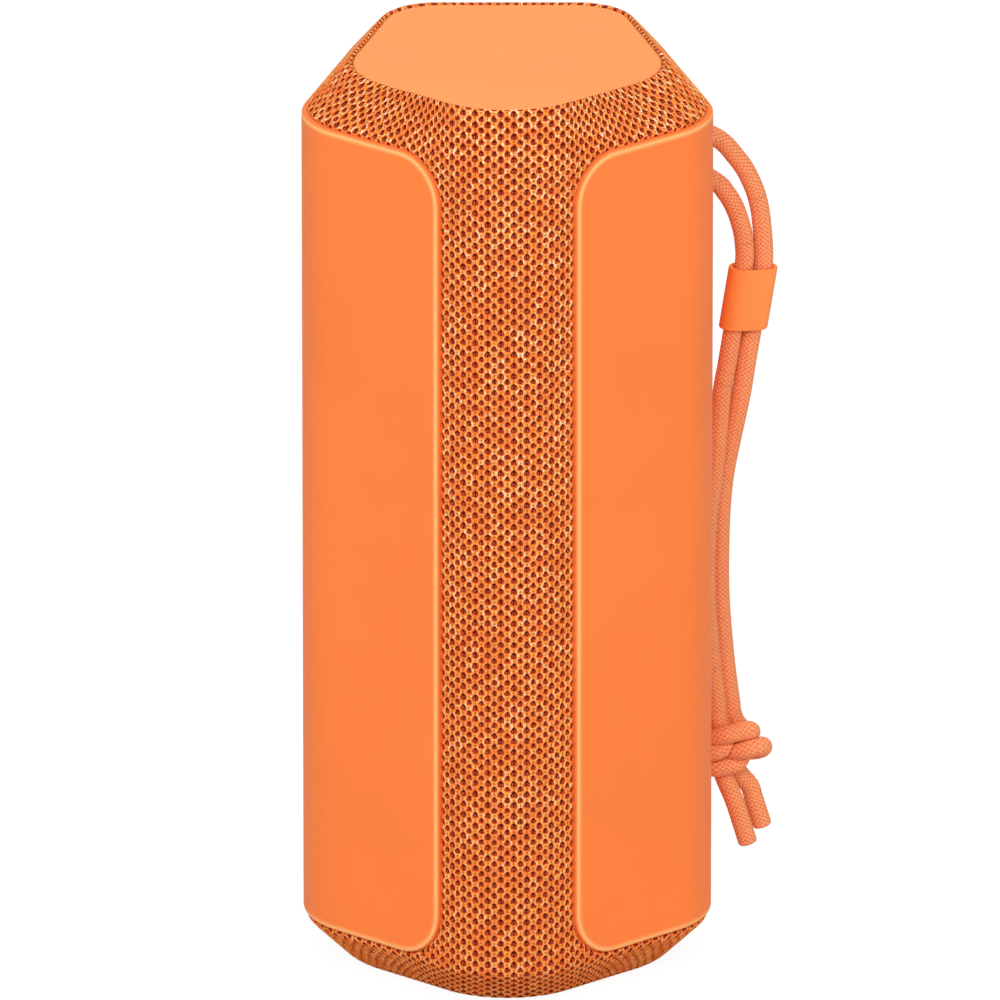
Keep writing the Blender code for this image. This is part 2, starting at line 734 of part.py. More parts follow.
def port_bezel(look):
    """The cup of the port's recess, behind the cabinet's wall, with the socket's slot through its floor."""
    frame = rear_frame(PORT_MIDDLE)
    inside = rounded_box(PORT_WIDTH, PORT_HEIGHT, PORT_CORNER, 4)
    outside = rounded_box(PORT_WIDTH + 2 * PORT_CUP, PORT_HEIGHT + 2 * PORT_CUP, PORT_CORNER + PORT_CUP, 4)
    back = PORT_FLOOR_Y - PORT_FLOOR
    slot = rounded_box(SOCKET_WIDTH + 2 * GAP, SOCKET_HEIGHT + 2 * GAP, SOCKET_HEIGHT / 2, 4)
    loops = [
        put(frame, inside, CABINET_INNER_Y - GAP),
        put(frame, outside, CABINET_INNER_Y - GAP),
        put(frame, outside, back),
        put(frame, slot, back),
        put(frame, slot, PORT_FLOOR_Y),
        put(frame, inside, PORT_FLOOR_Y),
    ]
    stack("port_bezel", loops, look, ring=True)


def usb_port(look):
    """The socket's steel shell round its tongue, open to the rear, standing on the main board."""
    frame = rear_frame(PORT_MIDDLE)
    outside = rounded_box(SOCKET_WIDTH, SOCKET_HEIGHT, SOCKET_HEIGHT / 2 - GAP, 4)
    thin = 2 * SOCKET_WALL
    inside = rounded_box(SOCKET_WIDTH - thin, SOCKET_HEIGHT - thin, SOCKET_HEIGHT / 2 - GAP - SOCKET_WALL, 4)
    tongue = rounded_box(SOCKET_WIDTH - 3 * thin, SOCKET_WALL * 2, SOCKET_WALL * 0.9, 4)
    back = MAIN_BOARD_Y + GAP
    loops = [
        put(frame, tongue, PORT_FLOOR_Y - 2 * SOCKET_WALL),
        put(frame, tongue, back + thin),
        put(frame, inside, back + thin),
        put(frame, inside, PORT_FLOOR_Y),
        put(frame, outside, PORT_FLOOR_Y),
        put(frame, outside, back),
    ]
    stack("usb_port", loops, look)


# ---------------------------------------------------------------- shells and baffle


def path_beyond(edge, side, offset):
    """The plan in front of an edge (side -1) or behind it (side 1), as points from one end on the edge to the other.

    Which of the plan's points it keeps doesn't depend on the offset, so two such paths match point for point.
    """
    points = zip(outline(0.0, offset), outline(0.0, SKIN))
    kept = [point for point, guide in points if side * (guide.y - edge) > CABINET_WALL]
    kept.sort(key=lambda point: atan2(-side * point.x, side * point.y))
    half = side * half_width(edge, offset)
    return [Vector((half, edge))] + kept + [Vector((-half, edge))]


def shell(name, look, edge, side, wall):
    """A bent wall of the full height, of the plan in front of an edge or behind it."""
    outside = path_beyond(edge, side, SKIN)
    inside = path_beyond(edge, side, SKIN + wall)
    bm = bmesh.new()
    rows = []
    for points in (outside, inside):
        for z in (SHELL_LOW, SHELL_HIGH):
            rows.append([bm.verts.new((point.x, point.y, z)) for point in points])
    out_low, out_high, in_low, in_high = rows
    for first, second in ((out_low, out_high), (out_high, in_high), (in_high, in_low), (in_low, out_low)):
        for i in range(len(first) - 1):
            bm.faces.new((first[i], first[i + 1], second[i + 1], second[i]))
    for i in (0, -1):
        bm.faces.new((out_low[i], out_high[i], in_high[i], in_low[i]))
    return finish(name, bm, look)


def grille_frame(look):
    frame = shell("grille_frame", look, GRILLE_END_Y, -1, GRILLE_WALL)
    bm = bmesh.new()
    space = SHELL_HIGH - SHELL_LOW - 2 * SLOT_MARGIN
    count = int(space // SLOT_PITCH) + 1
    start = (SHELL_LOW + SHELL_HIGH - SLOT_PITCH * (count - 1)) / 2
    for index in range(count):
        z = start + SLOT_PITCH * index
        add_box(bm, (-SLOT_WIDTH / 2, -DEPTH, z - SLOT_HEIGHT / 2), (SLOT_WIDTH / 2, DIFFUSER_Y, z + SLOT_HEIGHT / 2))
    cut(frame, cutter(finish("grille_slots", bm, None)))
    return frame


def cabinet_rear(look, holes):
    cabinet = shell("cabinet_rear", look, CABINET_FRONT_Y, 1, CABINET_WALL)
    bm = bmesh.new()
    reach = CABINET_INNER_Y + CABINET_WALL / 2
    for x in (-BOSS_X, BOSS_X):
        for z in BOSS_HEIGHTS:
            shape = circle(BOSS_RADIUS, 12, (-x, 0.0))
            add_stack(bm, [put(rear_frame(z), shape, MAIN_BOARD_Y + GAP), put(rear_frame(z), shape, reach)])
    join(cabinet, finish("bosses", bm, None))
    cut(cabinet, holes)
    cut(cabinet, cup_hole())
    return cabinet


def slice_plate(front_y, back_y, offset):
    """A flat slice across the plan between two depths, as four corners seen from above."""
    front, back = half_width(front_y, offset), half_width(back_y, offset)
    return [Vector((-front, front_y)), Vector((front, front_y)), Vector((back, back_y)), Vector((-back, back_y))]


def baffle(look, screw_holes):
    shape = slice_plate(BAFFLE_FRONT_Y, BAFFLE_BACK_Y, SKIN)
    plate = stack("baffle", [level(shape, SHELL_LOW), level(shape, SHELL_HIGH)], look)
    bm = bmesh.new()
    space = BASKET_WALL / 2
    mouth = rounded_box(MOUTH_WIDTH + 2 * space, MOUTH_HEIGHT + 2 * space, MOUTH_CORNER + space)
    for z in DRIVER_HEIGHTS:
        frame = axes((0.0, BAFFLE_FRONT_Y, z), *FRONT)
        add_stack(bm, [put(frame, mouth, -2 * BAFFLE), put(frame, mouth, BAFFLE)])
    cut(plate, cutter(finish("baffle_mouths", bm, None)))
    cut(plate, screw_holes)
    return plate


def baffle_gasket(look):
    """A flat ring between the baffle and the cabinet's front rim."""
    outside = slice_plate(GASKET_FRONT_Y, GASKET_BACK_Y, SKIN)
    width = 2 * half_width(CABINET_FRONT_Y, CABINET_IN)
    height = SHELL_HIGH - SHELL_LOW
    ring = stack("baffle_gasket", [level(outside, SHELL_LOW), level(outside, SHELL_HIGH)], look)
    frame = axes((0.0, GASKET_FRONT_Y, (SHELL_LOW + SHELL_HIGH) / 2), *FRONT)
    opening = rounded_box(width - 2 * CABINET_WALL, height - 4 * CABINET_WALL, CABINET_WALL)
    cut(ring, cutter(stack("gasket_opening", [put(frame, opening, -BAFFLE), put(frame, opening, BAFFLE)], None)))


def line_diffuser(look):
    """A slatted plate in front of the drivers, held between the grille frame's walls."""
    front, back = DIFFUSER_Y - DIFFUSER, DIFFUSER_Y
    shape = slice_plate(front, back, SKIN + GRILLE_WALL + GAP)
    low, high = SHELL_LOW + DIFFUSER_MARGIN, SHELL_HIGH - DIFFUSER_MARGIN
    plate = stack("line_diffuser", [level(shape, low), level(shape, high)], look)
    bm = bmesh.new()
    pitch = 2 * half_width(front, SKIN + GRILLE_WALL + GAP) / (DIFFUSER_SLOTS + 1)
    for index in range(DIFFUSER_SLOTS):
        x = pitch * (index - (DIFFUSER_SLOTS - 1) / 2)
        add_box(bm, (x - DIFFUSER_SLOT / 2, front - DIFFUSER, low + DIFFUSER_MARGIN),
                (x + DIFFUSER_SLOT / 2, back + DIFFUSER, high - DIFFUSER_MARGIN))
    cut(plate, cutter(finish("diffuser_slots", bm, None)))


# ---------------------------------------------------------------- drivers


DRIVER_HEIGHTS = ((HEIGHT + DRIVER_PITCH) / 2, (HEIGHT - DRIVER_PITCH) / 2)
DRIVER_NAMES = ("upper", "lower")
DRIVER_Y = BAFFLE_FRONT_Y - GAP  # the flange's back
MOUTH_WIDTH = DRIVER_WIDTH - 2 * DRIVER_LIP
MOUTH_HEIGHT = DRIVER_HEIGHT - 2 * DRIVER_LIP
QUARTER = 4  # steps of a driver's quarter round


def racetrack(edge):
    """The driver's mouth, drawn in by edge."""
    return rounded_box(MOUTH_WIDTH - 2 * edge, MOUTH_HEIGHT - 2 * edge, MOUTH_CORNER - edge, QUARTER)


def ring_of(radius):
    """A circle with as many points as the mouth, each at the angle of the mouth's quarter rounds."""
    return rounded_box(2 * radius, 2 * radius, radius * 0.999, QUARTER)


def driver_frame(z):
    return axes((0.0, DRIVER_Y, z), *FRONT)


def screw_places():
    x, z = DRIVER_WIDTH / 2 - SCREW_INSET, DRIVER_HEIGHT / 2 - SCREW_INSET
    return ((-x, z), (x, z), (x, -z), (-x, -z))


def screw_holes():
    """The cutter for the screws of both drivers."""
    bm = bmesh.new()
    for z in DRIVER_HEIGHTS:
        for place in screw_places():
            shape = circle(SCREW_SHANK + GAP, 10, place)
            add_stack(bm, [put(driver_frame(z), shape, -3 * BAFFLE), put(driver_frame(z), shape, 2 * BAFFLE)])
    return cutter(finish("screw_holes", bm, None))


def basket(which, z, look, holes):
    frame = driver_frame(z)
    flange = rounded_box(DRIVER_WIDTH, DRIVER_HEIGHT, DRIVER_CORNER, QUARTER)
    shelf = DRIVER_FLANGE - SHELF_DEPTH
    loops = [
        put(frame, flange, 0.0),
        put(frame, flange, DRIVER_FLANGE),
        put(frame, racetrack(0.0), DRIVER_FLANGE),
        put(frame, racetrack(0.0), shelf),
        put(frame, racetrack(SHELF_WIDTH), shelf),
        put(frame, ring_of(MAGNET_RADIUS - BASKET_WALL), -BASKET_DEPTH),
        put(frame, ring_of(MAGNET_RADIUS), -BASKET_DEPTH),
        put(frame, racetrack(0.0), 0.0),
    ]
    made = stack("driver_%s_basket" % which, loops, look, ring=True)
    cut(made, holes)


def magnet(which, z, look):
    """Pole, ring gap for the coil, and the magnet's cup behind."""
    frame = driver_frame(z)
    front = -BASKET_DEPTH - GAP
    pole, wall = COIL_RADIUS - COIL_WALL - COIL_GAP, COIL_RADIUS + COIL_GAP
    floor = front - COIL_DEPTH - CONE_TRAVEL - COIL_GAP
    back = front - MAGNET_LENGTH
    loops = [
        put(frame, ring_of(pole), front),
        put(frame, ring_of(pole), floor),
        put(frame, ring_of(wall), floor),
        put(frame, ring_of(wall), front),
        put(frame, ring_of(MAGNET_RADIUS), front),
        put(frame, ring_of(MAGNET_RADIUS), back + BASKET_WALL),
        put(frame, ring_of(MAGNET_RADIUS - BASKET_WALL), back),
    ]
    stack("driver_%s_magnet" % which, loops, look)


def roll(edges, frame, base, span, height, skin, shape):
    """Loops of a half-round roll of a thin skin, between two seats a span apart."""
    outer, inner = [], []
    middle = edges + span / 2
    steps = 4
    for step in range(steps + 1):
        angle = pi * step / steps
        outer.append(put(frame, shape(middle - span / 2 * cos(angle)), base + height * sin(angle) + skin))
        inner.append(put(frame, shape(middle - (span / 2 - skin * sin(angle)) * cos(angle)), base + height * sin(angle)))
    return outer + inner[::-1]


def surround(which, z, look):
    frame = driver_frame(z)
    base = DRIVER_FLANGE - SHELF_DEPTH + GAP
    loops = roll(GAP, frame, base, ROLL_SPAN, ROLL_HEIGHT, ROLL_SKIN, racetrack)
    stack("driver_%s_surround" % which, loops, look, ring=True)


def cone(which, z, look):
    """Dust cap, cone and voice coil as one body. Its origin is on its axis, at the flange."""
    frame = driver_frame(z)
    edge = GAP + ROLL_SPAN + GAP
    rim = DRIVER_FLANGE - SHELF_DEPTH + GAP
    neck = rim - CONE_DEPTH
    coil_end = -BASKET_DEPTH - GAP - COIL_DEPTH
    loops = [
        put(frame, ring_of(COIL_RADIUS * 0.35), neck + 0.0026),
        put(frame, ring_of(COIL_RADIUS * 0.75), neck + 0.0018),
        put(frame, ring_of(COIL_RADIUS), neck),
        put(frame, racetrack(edge), rim + CONE_SKIN),
        put(frame, racetrack(edge), rim),
        put(frame, ring_of(COIL_RADIUS), neck - 2 * CONE_SKIN),
        put(frame, ring_of(COIL_RADIUS), coil_end),
        put(frame, ring_of(COIL_RADIUS - COIL_WALL), coil_end),
        put(frame, ring_of(COIL_RADIUS - COIL_WALL), neck - CONE_SKIN),
    ]
    stack("driver_%s_cone" % which, loops, look, origin=(0.0, DRIVER_Y, z))


def screws(which, z, look):
    frame = driver_frame(z)
    top = DRIVER_FLANGE + GAP
    end = -GAP - BAFFLE - SCREW_GRIP
    for index, place in enumerate(screw_places()):
        loops = [
            put(frame, circle(SCREW_SHANK, 8, place), end),
            put(frame, circle(SCREW_SHANK, 8, place), top),
            put(frame, circle(SCREW_HEAD, 8, place), top),
            put(frame, circle(SCREW_HEAD, 8, place), top + SCREW_HEAD_HEIGHT / 2),
            put(frame, circle(SCREW_HEAD * 0.7, 8, place), top + SCREW_HEAD_HEIGHT),
        ]
        stack("driver_%s_screw_%d" % (which, index + 1), loops, look)


# ---------------------------------------------------------------- passive radiators


def radiator(end, look):
    """Frame, surround and plate of the passive radiator under one end's deck."""
    up = (0, 1, 0) if end.inwards < 0 else (0, -1, 0)
    frame = axes((0.0, RADIATOR_Y, end.z(END_DEPTH)), (1, 0, 0), up)
    inner = RADIATOR_RADIUS - RADIATOR_RIM
    steps = 24
    seat = -GAP
    loops = [
        put(frame, circle(RADIATOR_RADIUS, steps), seat),
        put(frame, circle(inner, steps), seat),
        put(frame, circle(inner, steps), seat - RADIATOR_FRAME),
        put(frame, circle(RADIATOR_RADIUS, steps), seat - RADIATOR_FRAME),
    ]
    stack("radiator_%s_frame" % end.name, loops, look["housing"], ring=True)
    middle = seat - RADIATOR_FRAME / 2
    outer = inner - GAP

    def shape(edge):
        return circle(outer - edge, steps)

    loops = roll(0.0, frame, middle, RADIATOR_ROLL, RADIATOR_ROLL_HEIGHT, RADIATOR_SKIN, shape)
    stack("radiator_%s_surround" % end.name, loops, look["rubber"], ring=True)
    disc = outer - RADIATOR_ROLL - GAP
    loops = [
        put(frame, circle(disc - DISH_RIM, steps), middle + RADIATOR_PLATE / 2),
        put(frame, circle(disc - DISH_SHOULDER, steps), middle + RADIATOR_PLATE / 2 + DISH_LIP),
        put(frame, circle(disc, steps), middle + RADIATOR_PLATE / 2),
        put(frame, circle(disc, steps), middle - DISH_LIP),
        put(frame, circle(disc - DISH_RIM, steps), middle - RADIATOR_PLATE / 2),
    ]
    stack("radiator_%s_plate" % end.name, loops, look["steel"], origin=frame.translation)


# ---------------------------------------------------------------- electronics


MAIN_BOARD_Y = KEY_BOARD_Y - BOARD - MAIN_BOARD_SPACE  # its rear face
MAIN_BOARD_LOW = PORT_LOW - MAIN_BOARD_MARGIN
MAIN_BOARD_HIGH = KEY_TOP_Z + MAIN_BOARD_MARGIN
BOARD_MIDDLE_Z = (MAIN_BOARD_LOW + MAIN_BOARD_HIGH) / 2
BOSS_HEIGHTS = (MAIN_BOARD_LOW + 2 * BOSS_RADIUS, MAIN_BOARD_HIGH - 2 * BOSS_RADIUS)


# Each chip's place as a share of the main board's half width and half height, its size and its height.
CHIPS = ((-0.50, 0.62, CHIP_LARGE, CHIP_HEIGHT), (0.42, 0.55, CHIP_SMALL, COIL_HEIGHT),
         (-0.35, -0.05, CHIP_LARGE, CHIP_HEIGHT), (0.45, -0.10, CHIP_SMALL, COIL_HEIGHT),
         (-0.45, -0.60, CHIP_SMALL, CHIP_HEIGHT))


def key_board(look):
    """The board behind the keys, with a dome switch under each."""
    bm = bmesh.new()
    half = REAR_PANEL_WIDTH / 2
    low = KEY_HEIGHTS[-1] - LENS_DROP - 2 * KEY_RADIUS
    high = KEY_HEIGHTS[0] + 2 * KEY_RADIUS
    add_box(bm, (-half, KEY_BOARD_Y - BOARD, low), (half, KEY_BOARD_Y, high))
    board = finish("key_board", bm, look)
    bm = bmesh.new()
    for z in KEY_HEIGHTS:
        frame = rear_frame(z)
        loops = [put(frame, circle(DOME_RADIUS, 12), KEY_BOARD_Y - BOARD / 2),
                 put(frame, circle(DOME_RADIUS, 12), KEY_BOARD_Y + DOME_HEIGHT)]
        add_stack(bm, loops)
    join(board, finish("domes", bm, None))


def main_board(look):
    """The board that carries radio, amplifier and charger, with its larger chips and coils."""
    bm = bmesh.new()
    half, tall = MAIN_BOARD_WIDTH / 2, (MAIN_BOARD_HIGH - MAIN_BOARD_LOW) / 2
    add_box(bm, (-half, MAIN_BOARD_Y - BOARD, MAIN_BOARD_LOW), (half, MAIN_BOARD_Y, MAIN_BOARD_HIGH))
    board = finish("main_board", bm, look)
    bm = bmesh.new()
    for x, z, size, tall_chip in CHIPS:
        x, z = x * half, BOARD_MIDDLE_Z + z * tall
        add_box(bm, (x - size / 2, MAIN_BOARD_Y - BOARD / 2, z - size / 2),
                (x + size / 2, MAIN_BOARD_Y + tall_chip, z + size / 2))
    join(board, finish("chips", bm, None))


def battery(look):
    """Two cells, one beside the other, in a tray on the main board's front."""
    tray_back = MAIN_BOARD_Y - BOARD - GAP
    middle_y = tray_back - TRAY_WALL - GAP - CELL_RADIUS
    half = 2 * CELL_RADIUS + 1.5 * GAP
    low, high = BOARD_MIDDLE_Z - CELL_LENGTH / 2, BOARD_MIDDLE_Z + CELL_LENGTH / 2
    bm = bmesh.new()
    add_box(bm, (-half, tray_back - TRAY_WALL, low - GAP - TRAY_WALL), (half, tray_back, high + GAP + TRAY_WALL))
    tray = finish("battery_tray", bm, look["housing"])
    bm = bmesh.new()
    for z0, z1 in ((low - GAP - TRAY_WALL, low - GAP), (high + GAP, high + GAP + TRAY_WALL)):
        add_box(bm, (-half, tray_back - TRAY_WALL - TRAY_LIP, z0), (half, tray_back - TRAY_WALL / 2, z1))
    join(tray, finish("tray_ends", bm, None))
    for name, side in (("battery_cell_left", -1), ("battery_cell_right", 1)):
        x = side * (CELL_RADIUS + GAP / 2)
        body = circle(CELL_RADIUS, 20, (x, middle_y))
        tip = circle(CELL_TIP, 20, (x, middle_y))
        shoulder = circle(CELL_RADIUS * 0.92, 20, (x, middle_y))
        top = high - CELL_TIP / 2
        loops = [level(body, low), level(body, top - 2 * GAP), level(shoulder, top), level(tip, top), level(tip, high)]
        stack(name, loops, look["cell"])


# ---------------------------------------------------------------- strap


def strap_frame():
    """A frame on the side wall's fabric line at the bar's height: X back along the wall, Y up, Z outwards."""
    place = wall_point(SIDE_FLAT_START + STRAP_BACK)
    back = unit(SIDE_LEAN + pi / 2)
    return axes((place.x, place.y, STRAP_Z), (back.x, back.y, 0.0), (0, 0, 1))


STRAP = strap_frame()
BAR_PLACE = STRAP @ Vector((0.0, 0.0, -BAR_DEPTH))
CUP_HALF = CORD_RADIUS + CUP_SIDE_SPACE
WRAP_STEPS = 10
CUP_FLOOR = -BAR_DEPTH - WRAP_RADIUS - CORD_RADIUS - CUP_SPACE_BEHIND


def cup_shape(grow, radius):
    """The cup's mouth, grown evenly."""
    height = CUP_ABOVE + CUP_BELOW
    middle = (0.0, (CUP_ABOVE - CUP_BELOW) / 2)
    return rounded_box(2 * (CUP_HALF + grow), height + 2 * grow, radius, 4, middle)


def cup_hole():
    shape = cup_shape(CUP_WALL + GAP, CUP_WALL + GAP)
    deep = CUP_FLOOR - 2 * CUP_WALL
    return cutter(stack("cup_hole", [put(STRAP, shape, deep), put(STRAP, shape, 4 * FABRIC)], None))


def strap_cup(look):
    """The pocket that holds the strap's bar. Its walls have a blind seat for each end of the bar."""
    mouth = PANEL_PROUD - CUP_MOUTH_DROP
    outside, inside = cup_shape(CUP_WALL, CUP_WALL), cup_shape(0.0, CUP_WALL)
    flare = cup_shape(CUP_WALL / 3, CUP_WALL)
    loops = [
        put(STRAP, outside, CUP_FLOOR - CUP_WALL),
        put(STRAP, outside, mouth),
        put(STRAP, flare, mouth),
        put(STRAP, inside, mouth - CUP_WALL / 3),
        put(STRAP, inside, CUP_FLOOR),
    ]
    cup = stack("strap_cup", loops, look)
    bar = bar_frame()
    half = CUP_HALF + BAR_SEAT + GAP
    shape = circle(BAR_RADIUS + GAP, 12)
    cut(cup, cutter(stack("bar_seats", [put(bar, shape, -half), put(bar, shape, half)], None)))


def bar_frame():
    """A frame on the bar's axis."""
    turn = STRAP.to_3x3()
    return axes(BAR_PLACE, turn @ Vector((0, 1, 0)), turn @ Vector((0, 0, 1)))


def strap_bar(look):
    half = CUP_HALF + BAR_SEAT
    bar = bar_frame()
    shape = circle(BAR_RADIUS, 12)
    stack("strap_bar", [put(bar, shape, -half), put(bar, shape, half)], look)


def smooth(points, spacing):
    """Points about a spacing apart on a Catmull-Rom curve through the given ones."""
    points = [Vector(point) for point in points]
    padded = [2 * points[0] - points[1]] + points + [2 * points[-1] - points[-2]]
    found = [points[0]]
    for a, b, c, d in zip(padded, padded[1:], padded[2:], padded[3:]):
        steps = max(1, round((c - b).length / spacing))
        for step in range(1, steps + 1):
            t = step / steps
            found.append(0.5 * (2 * b + (c - a) * t + (2 * a - 5 * b + 4 * c - d) * t * t
                                + (3 * b - a - 3 * c + d) * t * t * t))
    return found


def wrap(side):
    """A strand's quarter round the bar, from behind it to where it leaves, above the bar or below it."""
    points = []
    first = GAP / WRAP_RADIUS
    turn = pi / 2 + side * STRAP_EXIT_DROP
    for step in range(WRAP_STEPS + 1):
        angle = pi - first - (turn - first) * step / WRAP_STEPS
        points.append(STRAP @ Vector((0.0, side * WRAP_RADIUS * sin(angle), -BAR_DEPTH + WRAP_RADIUS * cos(angle))))
    return points


def hung(point):
    """A point of the strap's routes, for where the bar is."""
    return Vector(point) + BAR_PLACE - Vector(HUNG_FROM)


STRETCH = Vector(STRETCH_END) - Vector(STRETCH_TOP)
ALONG = STRETCH.normalized()
ACROSS = (STRAP.to_3x3() @ Vector((0, 0, 1)) - ALONG * (STRAP.to_3x3() @ Vector((0, 0, 1))).dot(ALONG)).normalized()


def stretch_points(side):
    """The straight stretch that the slider runs on, for the outer strand or the inner one."""
    aside = side * (CORD_RADIUS + PAIR_GAP / 2) * ACROSS
    return [hung(STRETCH_TOP) + STRETCH * step / 4 + aside for step in range(5)]


def strand(name, points, look, empty):
    curve = bpy.data.curves.new(name, "CURVE")
    curve.dimensions = "3D"
    curve.bevel_depth = CORD_RADIUS
    curve.bevel_resolution = 2
    curve.use_fill_caps = True
    spline = curve.splines.new("POLY")
    spline.points.add(len(points) - 1)
    for spline_point, point in zip(spline.points, points):
        spline_point.co = (*(point - empty.location), 1.0)
    curve.materials.append(look)
    obj = bpy.data.objects.new(name, curve)
    bpy.context.scene.collection.objects.link(obj)
    obj.parent = empty


def strand_points(side):
    """The outer strand goes over the bar and down behind, the inner one under it and down nearer the front."""
    leaving, falling, neck = ((UPPER_ROUTE, FAR_ROUTE, FAR_NECK) if side > 0 else (LOWER_ROUTE, NEAR_ROUTE, NEAR_NECK))
    arc = wrap(side)
    loose = [arc[-1]] + [hung(point) for point in leaving] + stretch_points(side)
    loose += [hung(point) for point in falling] + [hung(neck)]
    return arc[:-1] + smooth(loose, 3 * CORD_RADIUS)


def strap_slider(look, axis):
    """The oval sleeve that gathers the two strands. It slides down the straight stretch."""
    middle = hung(STRETCH_TOP) + ALONG * (SLIDER_LENGTH / 2 + GAP)
    frame = axes(middle, ACROSS, ALONG.cross(ACROSS))
    space = 2 * GAP
    inner_width = 4 * CORD_RADIUS + PAIR_GAP + space
    inner_thickness = 2 * CORD_RADIUS + space
    loops = []
    half = SLIDER_LENGTH / 2
    for height, edge in ((-half, SLIDER_ROUND), (-half + SLIDER_ROUND, 0.0), (half - SLIDER_ROUND, 0.0), (half, SLIDER_ROUND)):
        width, thickness = SLIDER_WIDTH - 2 * edge, SLIDER_THICKNESS - 2 * edge
        loops.append(put(frame, rounded_box(width, thickness, thickness / 2 * 0.98, 6), height))
    for height in (half, -half):
        shape = rounded_box(inner_width, inner_thickness, inner_thickness / 2 * 0.98, 6)
        loops.append(put(frame, shape, height))
    slider = stack("strap_slider", loops, look, ring=True, origin=middle)
    carry(axis, slider)


def add_rod(bm, start, end, radius, steps=8):
    start, end = Vector(start), Vector(end)
    along = (end - start).normalized()
    across = along.orthogonal().normalized()
    shape = circle(radius, steps)
    frame = axes(start, across, along.cross(across))
    add_stack(bm, [put(frame, shape, 0.0), put(frame, shape, (end - start).length)])


def strap_knot(look, axis):
    """The knot's outer form: a core, the rings of its two wraps, the necks that meet the strands, and two tails."""
    centre = hung(KNOT_CENTRE)
    bm = bmesh.new()
    bmesh.ops.create_icosphere(bm, subdivisions=2, radius=1.0)
    bmesh.ops.scale(bm, verts=bm.verts, vec=KNOT_RADII)
    bmesh.ops.translate(bm, verts=bm.verts, vec=centre)
    knot = finish("strap_knot", bm, look, sharp=50.0)
    tilts = ((35.0, 15.0, 0.0026), (30.0, 10.0, -0.0012), (-24.0, -12.0, -0.0040))
    for index, (tilt, lean, rise) in enumerate(tilts):
        turn = Matrix.Rotation(radians(-tilt), 4, "Y") @ Matrix.Rotation(radians(lean), 4, "X")
        place = Matrix.Translation(centre + Vector((0, 0, rise))) @ turn
        rows = []
        for step in range(6):
            around = 2 * pi * step / 6
            radius = KNOT_RING + CORD_RADIUS * cos(around)
            rows.append([place @ Vector((*point, CORD_RADIUS * sin(around))) for point in circle(radius, 14)])
        join(knot, stack("knot_wrap_%d" % (index + 1), rows, None, ring=True))
    for index, (neck, before, tail, side) in enumerate(((NEAR_NECK, NEAR_ROUTE[-1], TAIL_ENDS[0], -1),
                                                      (FAR_NECK, FAR_ROUTE[-1], TAIL_ENDS[1], 1))):
        along = (Vector(neck) - Vector(before)).normalized()
        top = hung(neck) + GAP * along
        bm = bmesh.new()
        add_rod(bm, top, top + along * (CORD_RADIUS * 4), CORD_RADIUS)
        join(knot, finish("knot_neck_%d" % (index + 1), bm, None))
        bm = bmesh.new()
        start = centre + Vector((side * CORD_RADIUS, side * CORD_RADIUS / 2, -KNOT_RADII[2] / 2))
        add_rod(bm, start, hung(tail), CORD_RADIUS)
        join(knot, finish("knot_tail_%d" % (index + 1), bm, None))
    return knot


def strap(look):
    strap_cup(look["panel"])
    strap_bar(look["steel"])
    axis = pivot("strap_axis", BAR_PLACE)
    strand("strap_strand_outer", strand_points(1), look["cord"], axis)
    strand("strap_strand_inner", strand_points(-1), look["cord"], axis)
    strap_slider(look["panel"], axis)
    strap_knot(look["cord"], axis)


# ---------------------------------------------------------------- the whole speaker


def build():
    clear_scene()
    look = looks()
    fabric_cover(look["fabric"])
    right = side_plate("side_panel_right", look["panel"], False, PANEL_LAYERS)
    cut(right, cup_hole())
    side_plate("side_panel_left", look["panel"], True, PANEL_LAYERS)
    end_plate(TOP, "top_plate", look["plate"], -RIM_DROP)
    end_plate(BASE, "bottom_foot", look["panel"], FOOT_LIFT)
    end_frame(TOP, look["housing"])
    end_frame(BASE, look["housing"])
    grille_frame(look["housing"])
    holes = rear_holes()
    rear_panel(look["panel"], holes)
    cabinet_rear(look["housing"], holes)
    keys(look["panel"])
    status_lens(look["lens"])
    port_cover(look["panel"])
    port_bezel(look["housing"])
    usb_port(look["steel"])
    bores = screw_holes()
    baffle(look["housing"], bores)
    baffle_gasket(look["rubber"])
    line_diffuser(look["housing"])
    for which, z in zip(DRIVER_NAMES, DRIVER_HEIGHTS):
        basket(which, z, look["housing"], bores)
        magnet(which, z, look["magnet"])
        surround(which, z, look["rubber"])
        cone(which, z, look["rubber"])
        screws(which, z, look["steel"])
    radiator(TOP, look)
    radiator(BASE, look)
    key_board(look["board"])
    main_board(look["board"])
    battery(look)
    strap(look)


build()
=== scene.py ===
"""Looks of the portable speaker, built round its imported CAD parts. Metres, +Z up, -Y towards the viewer."""

import json
from math import atan2, cos, pi, radians, sin

import bpy
import numpy as np
from mathutils import Matrix, Vector

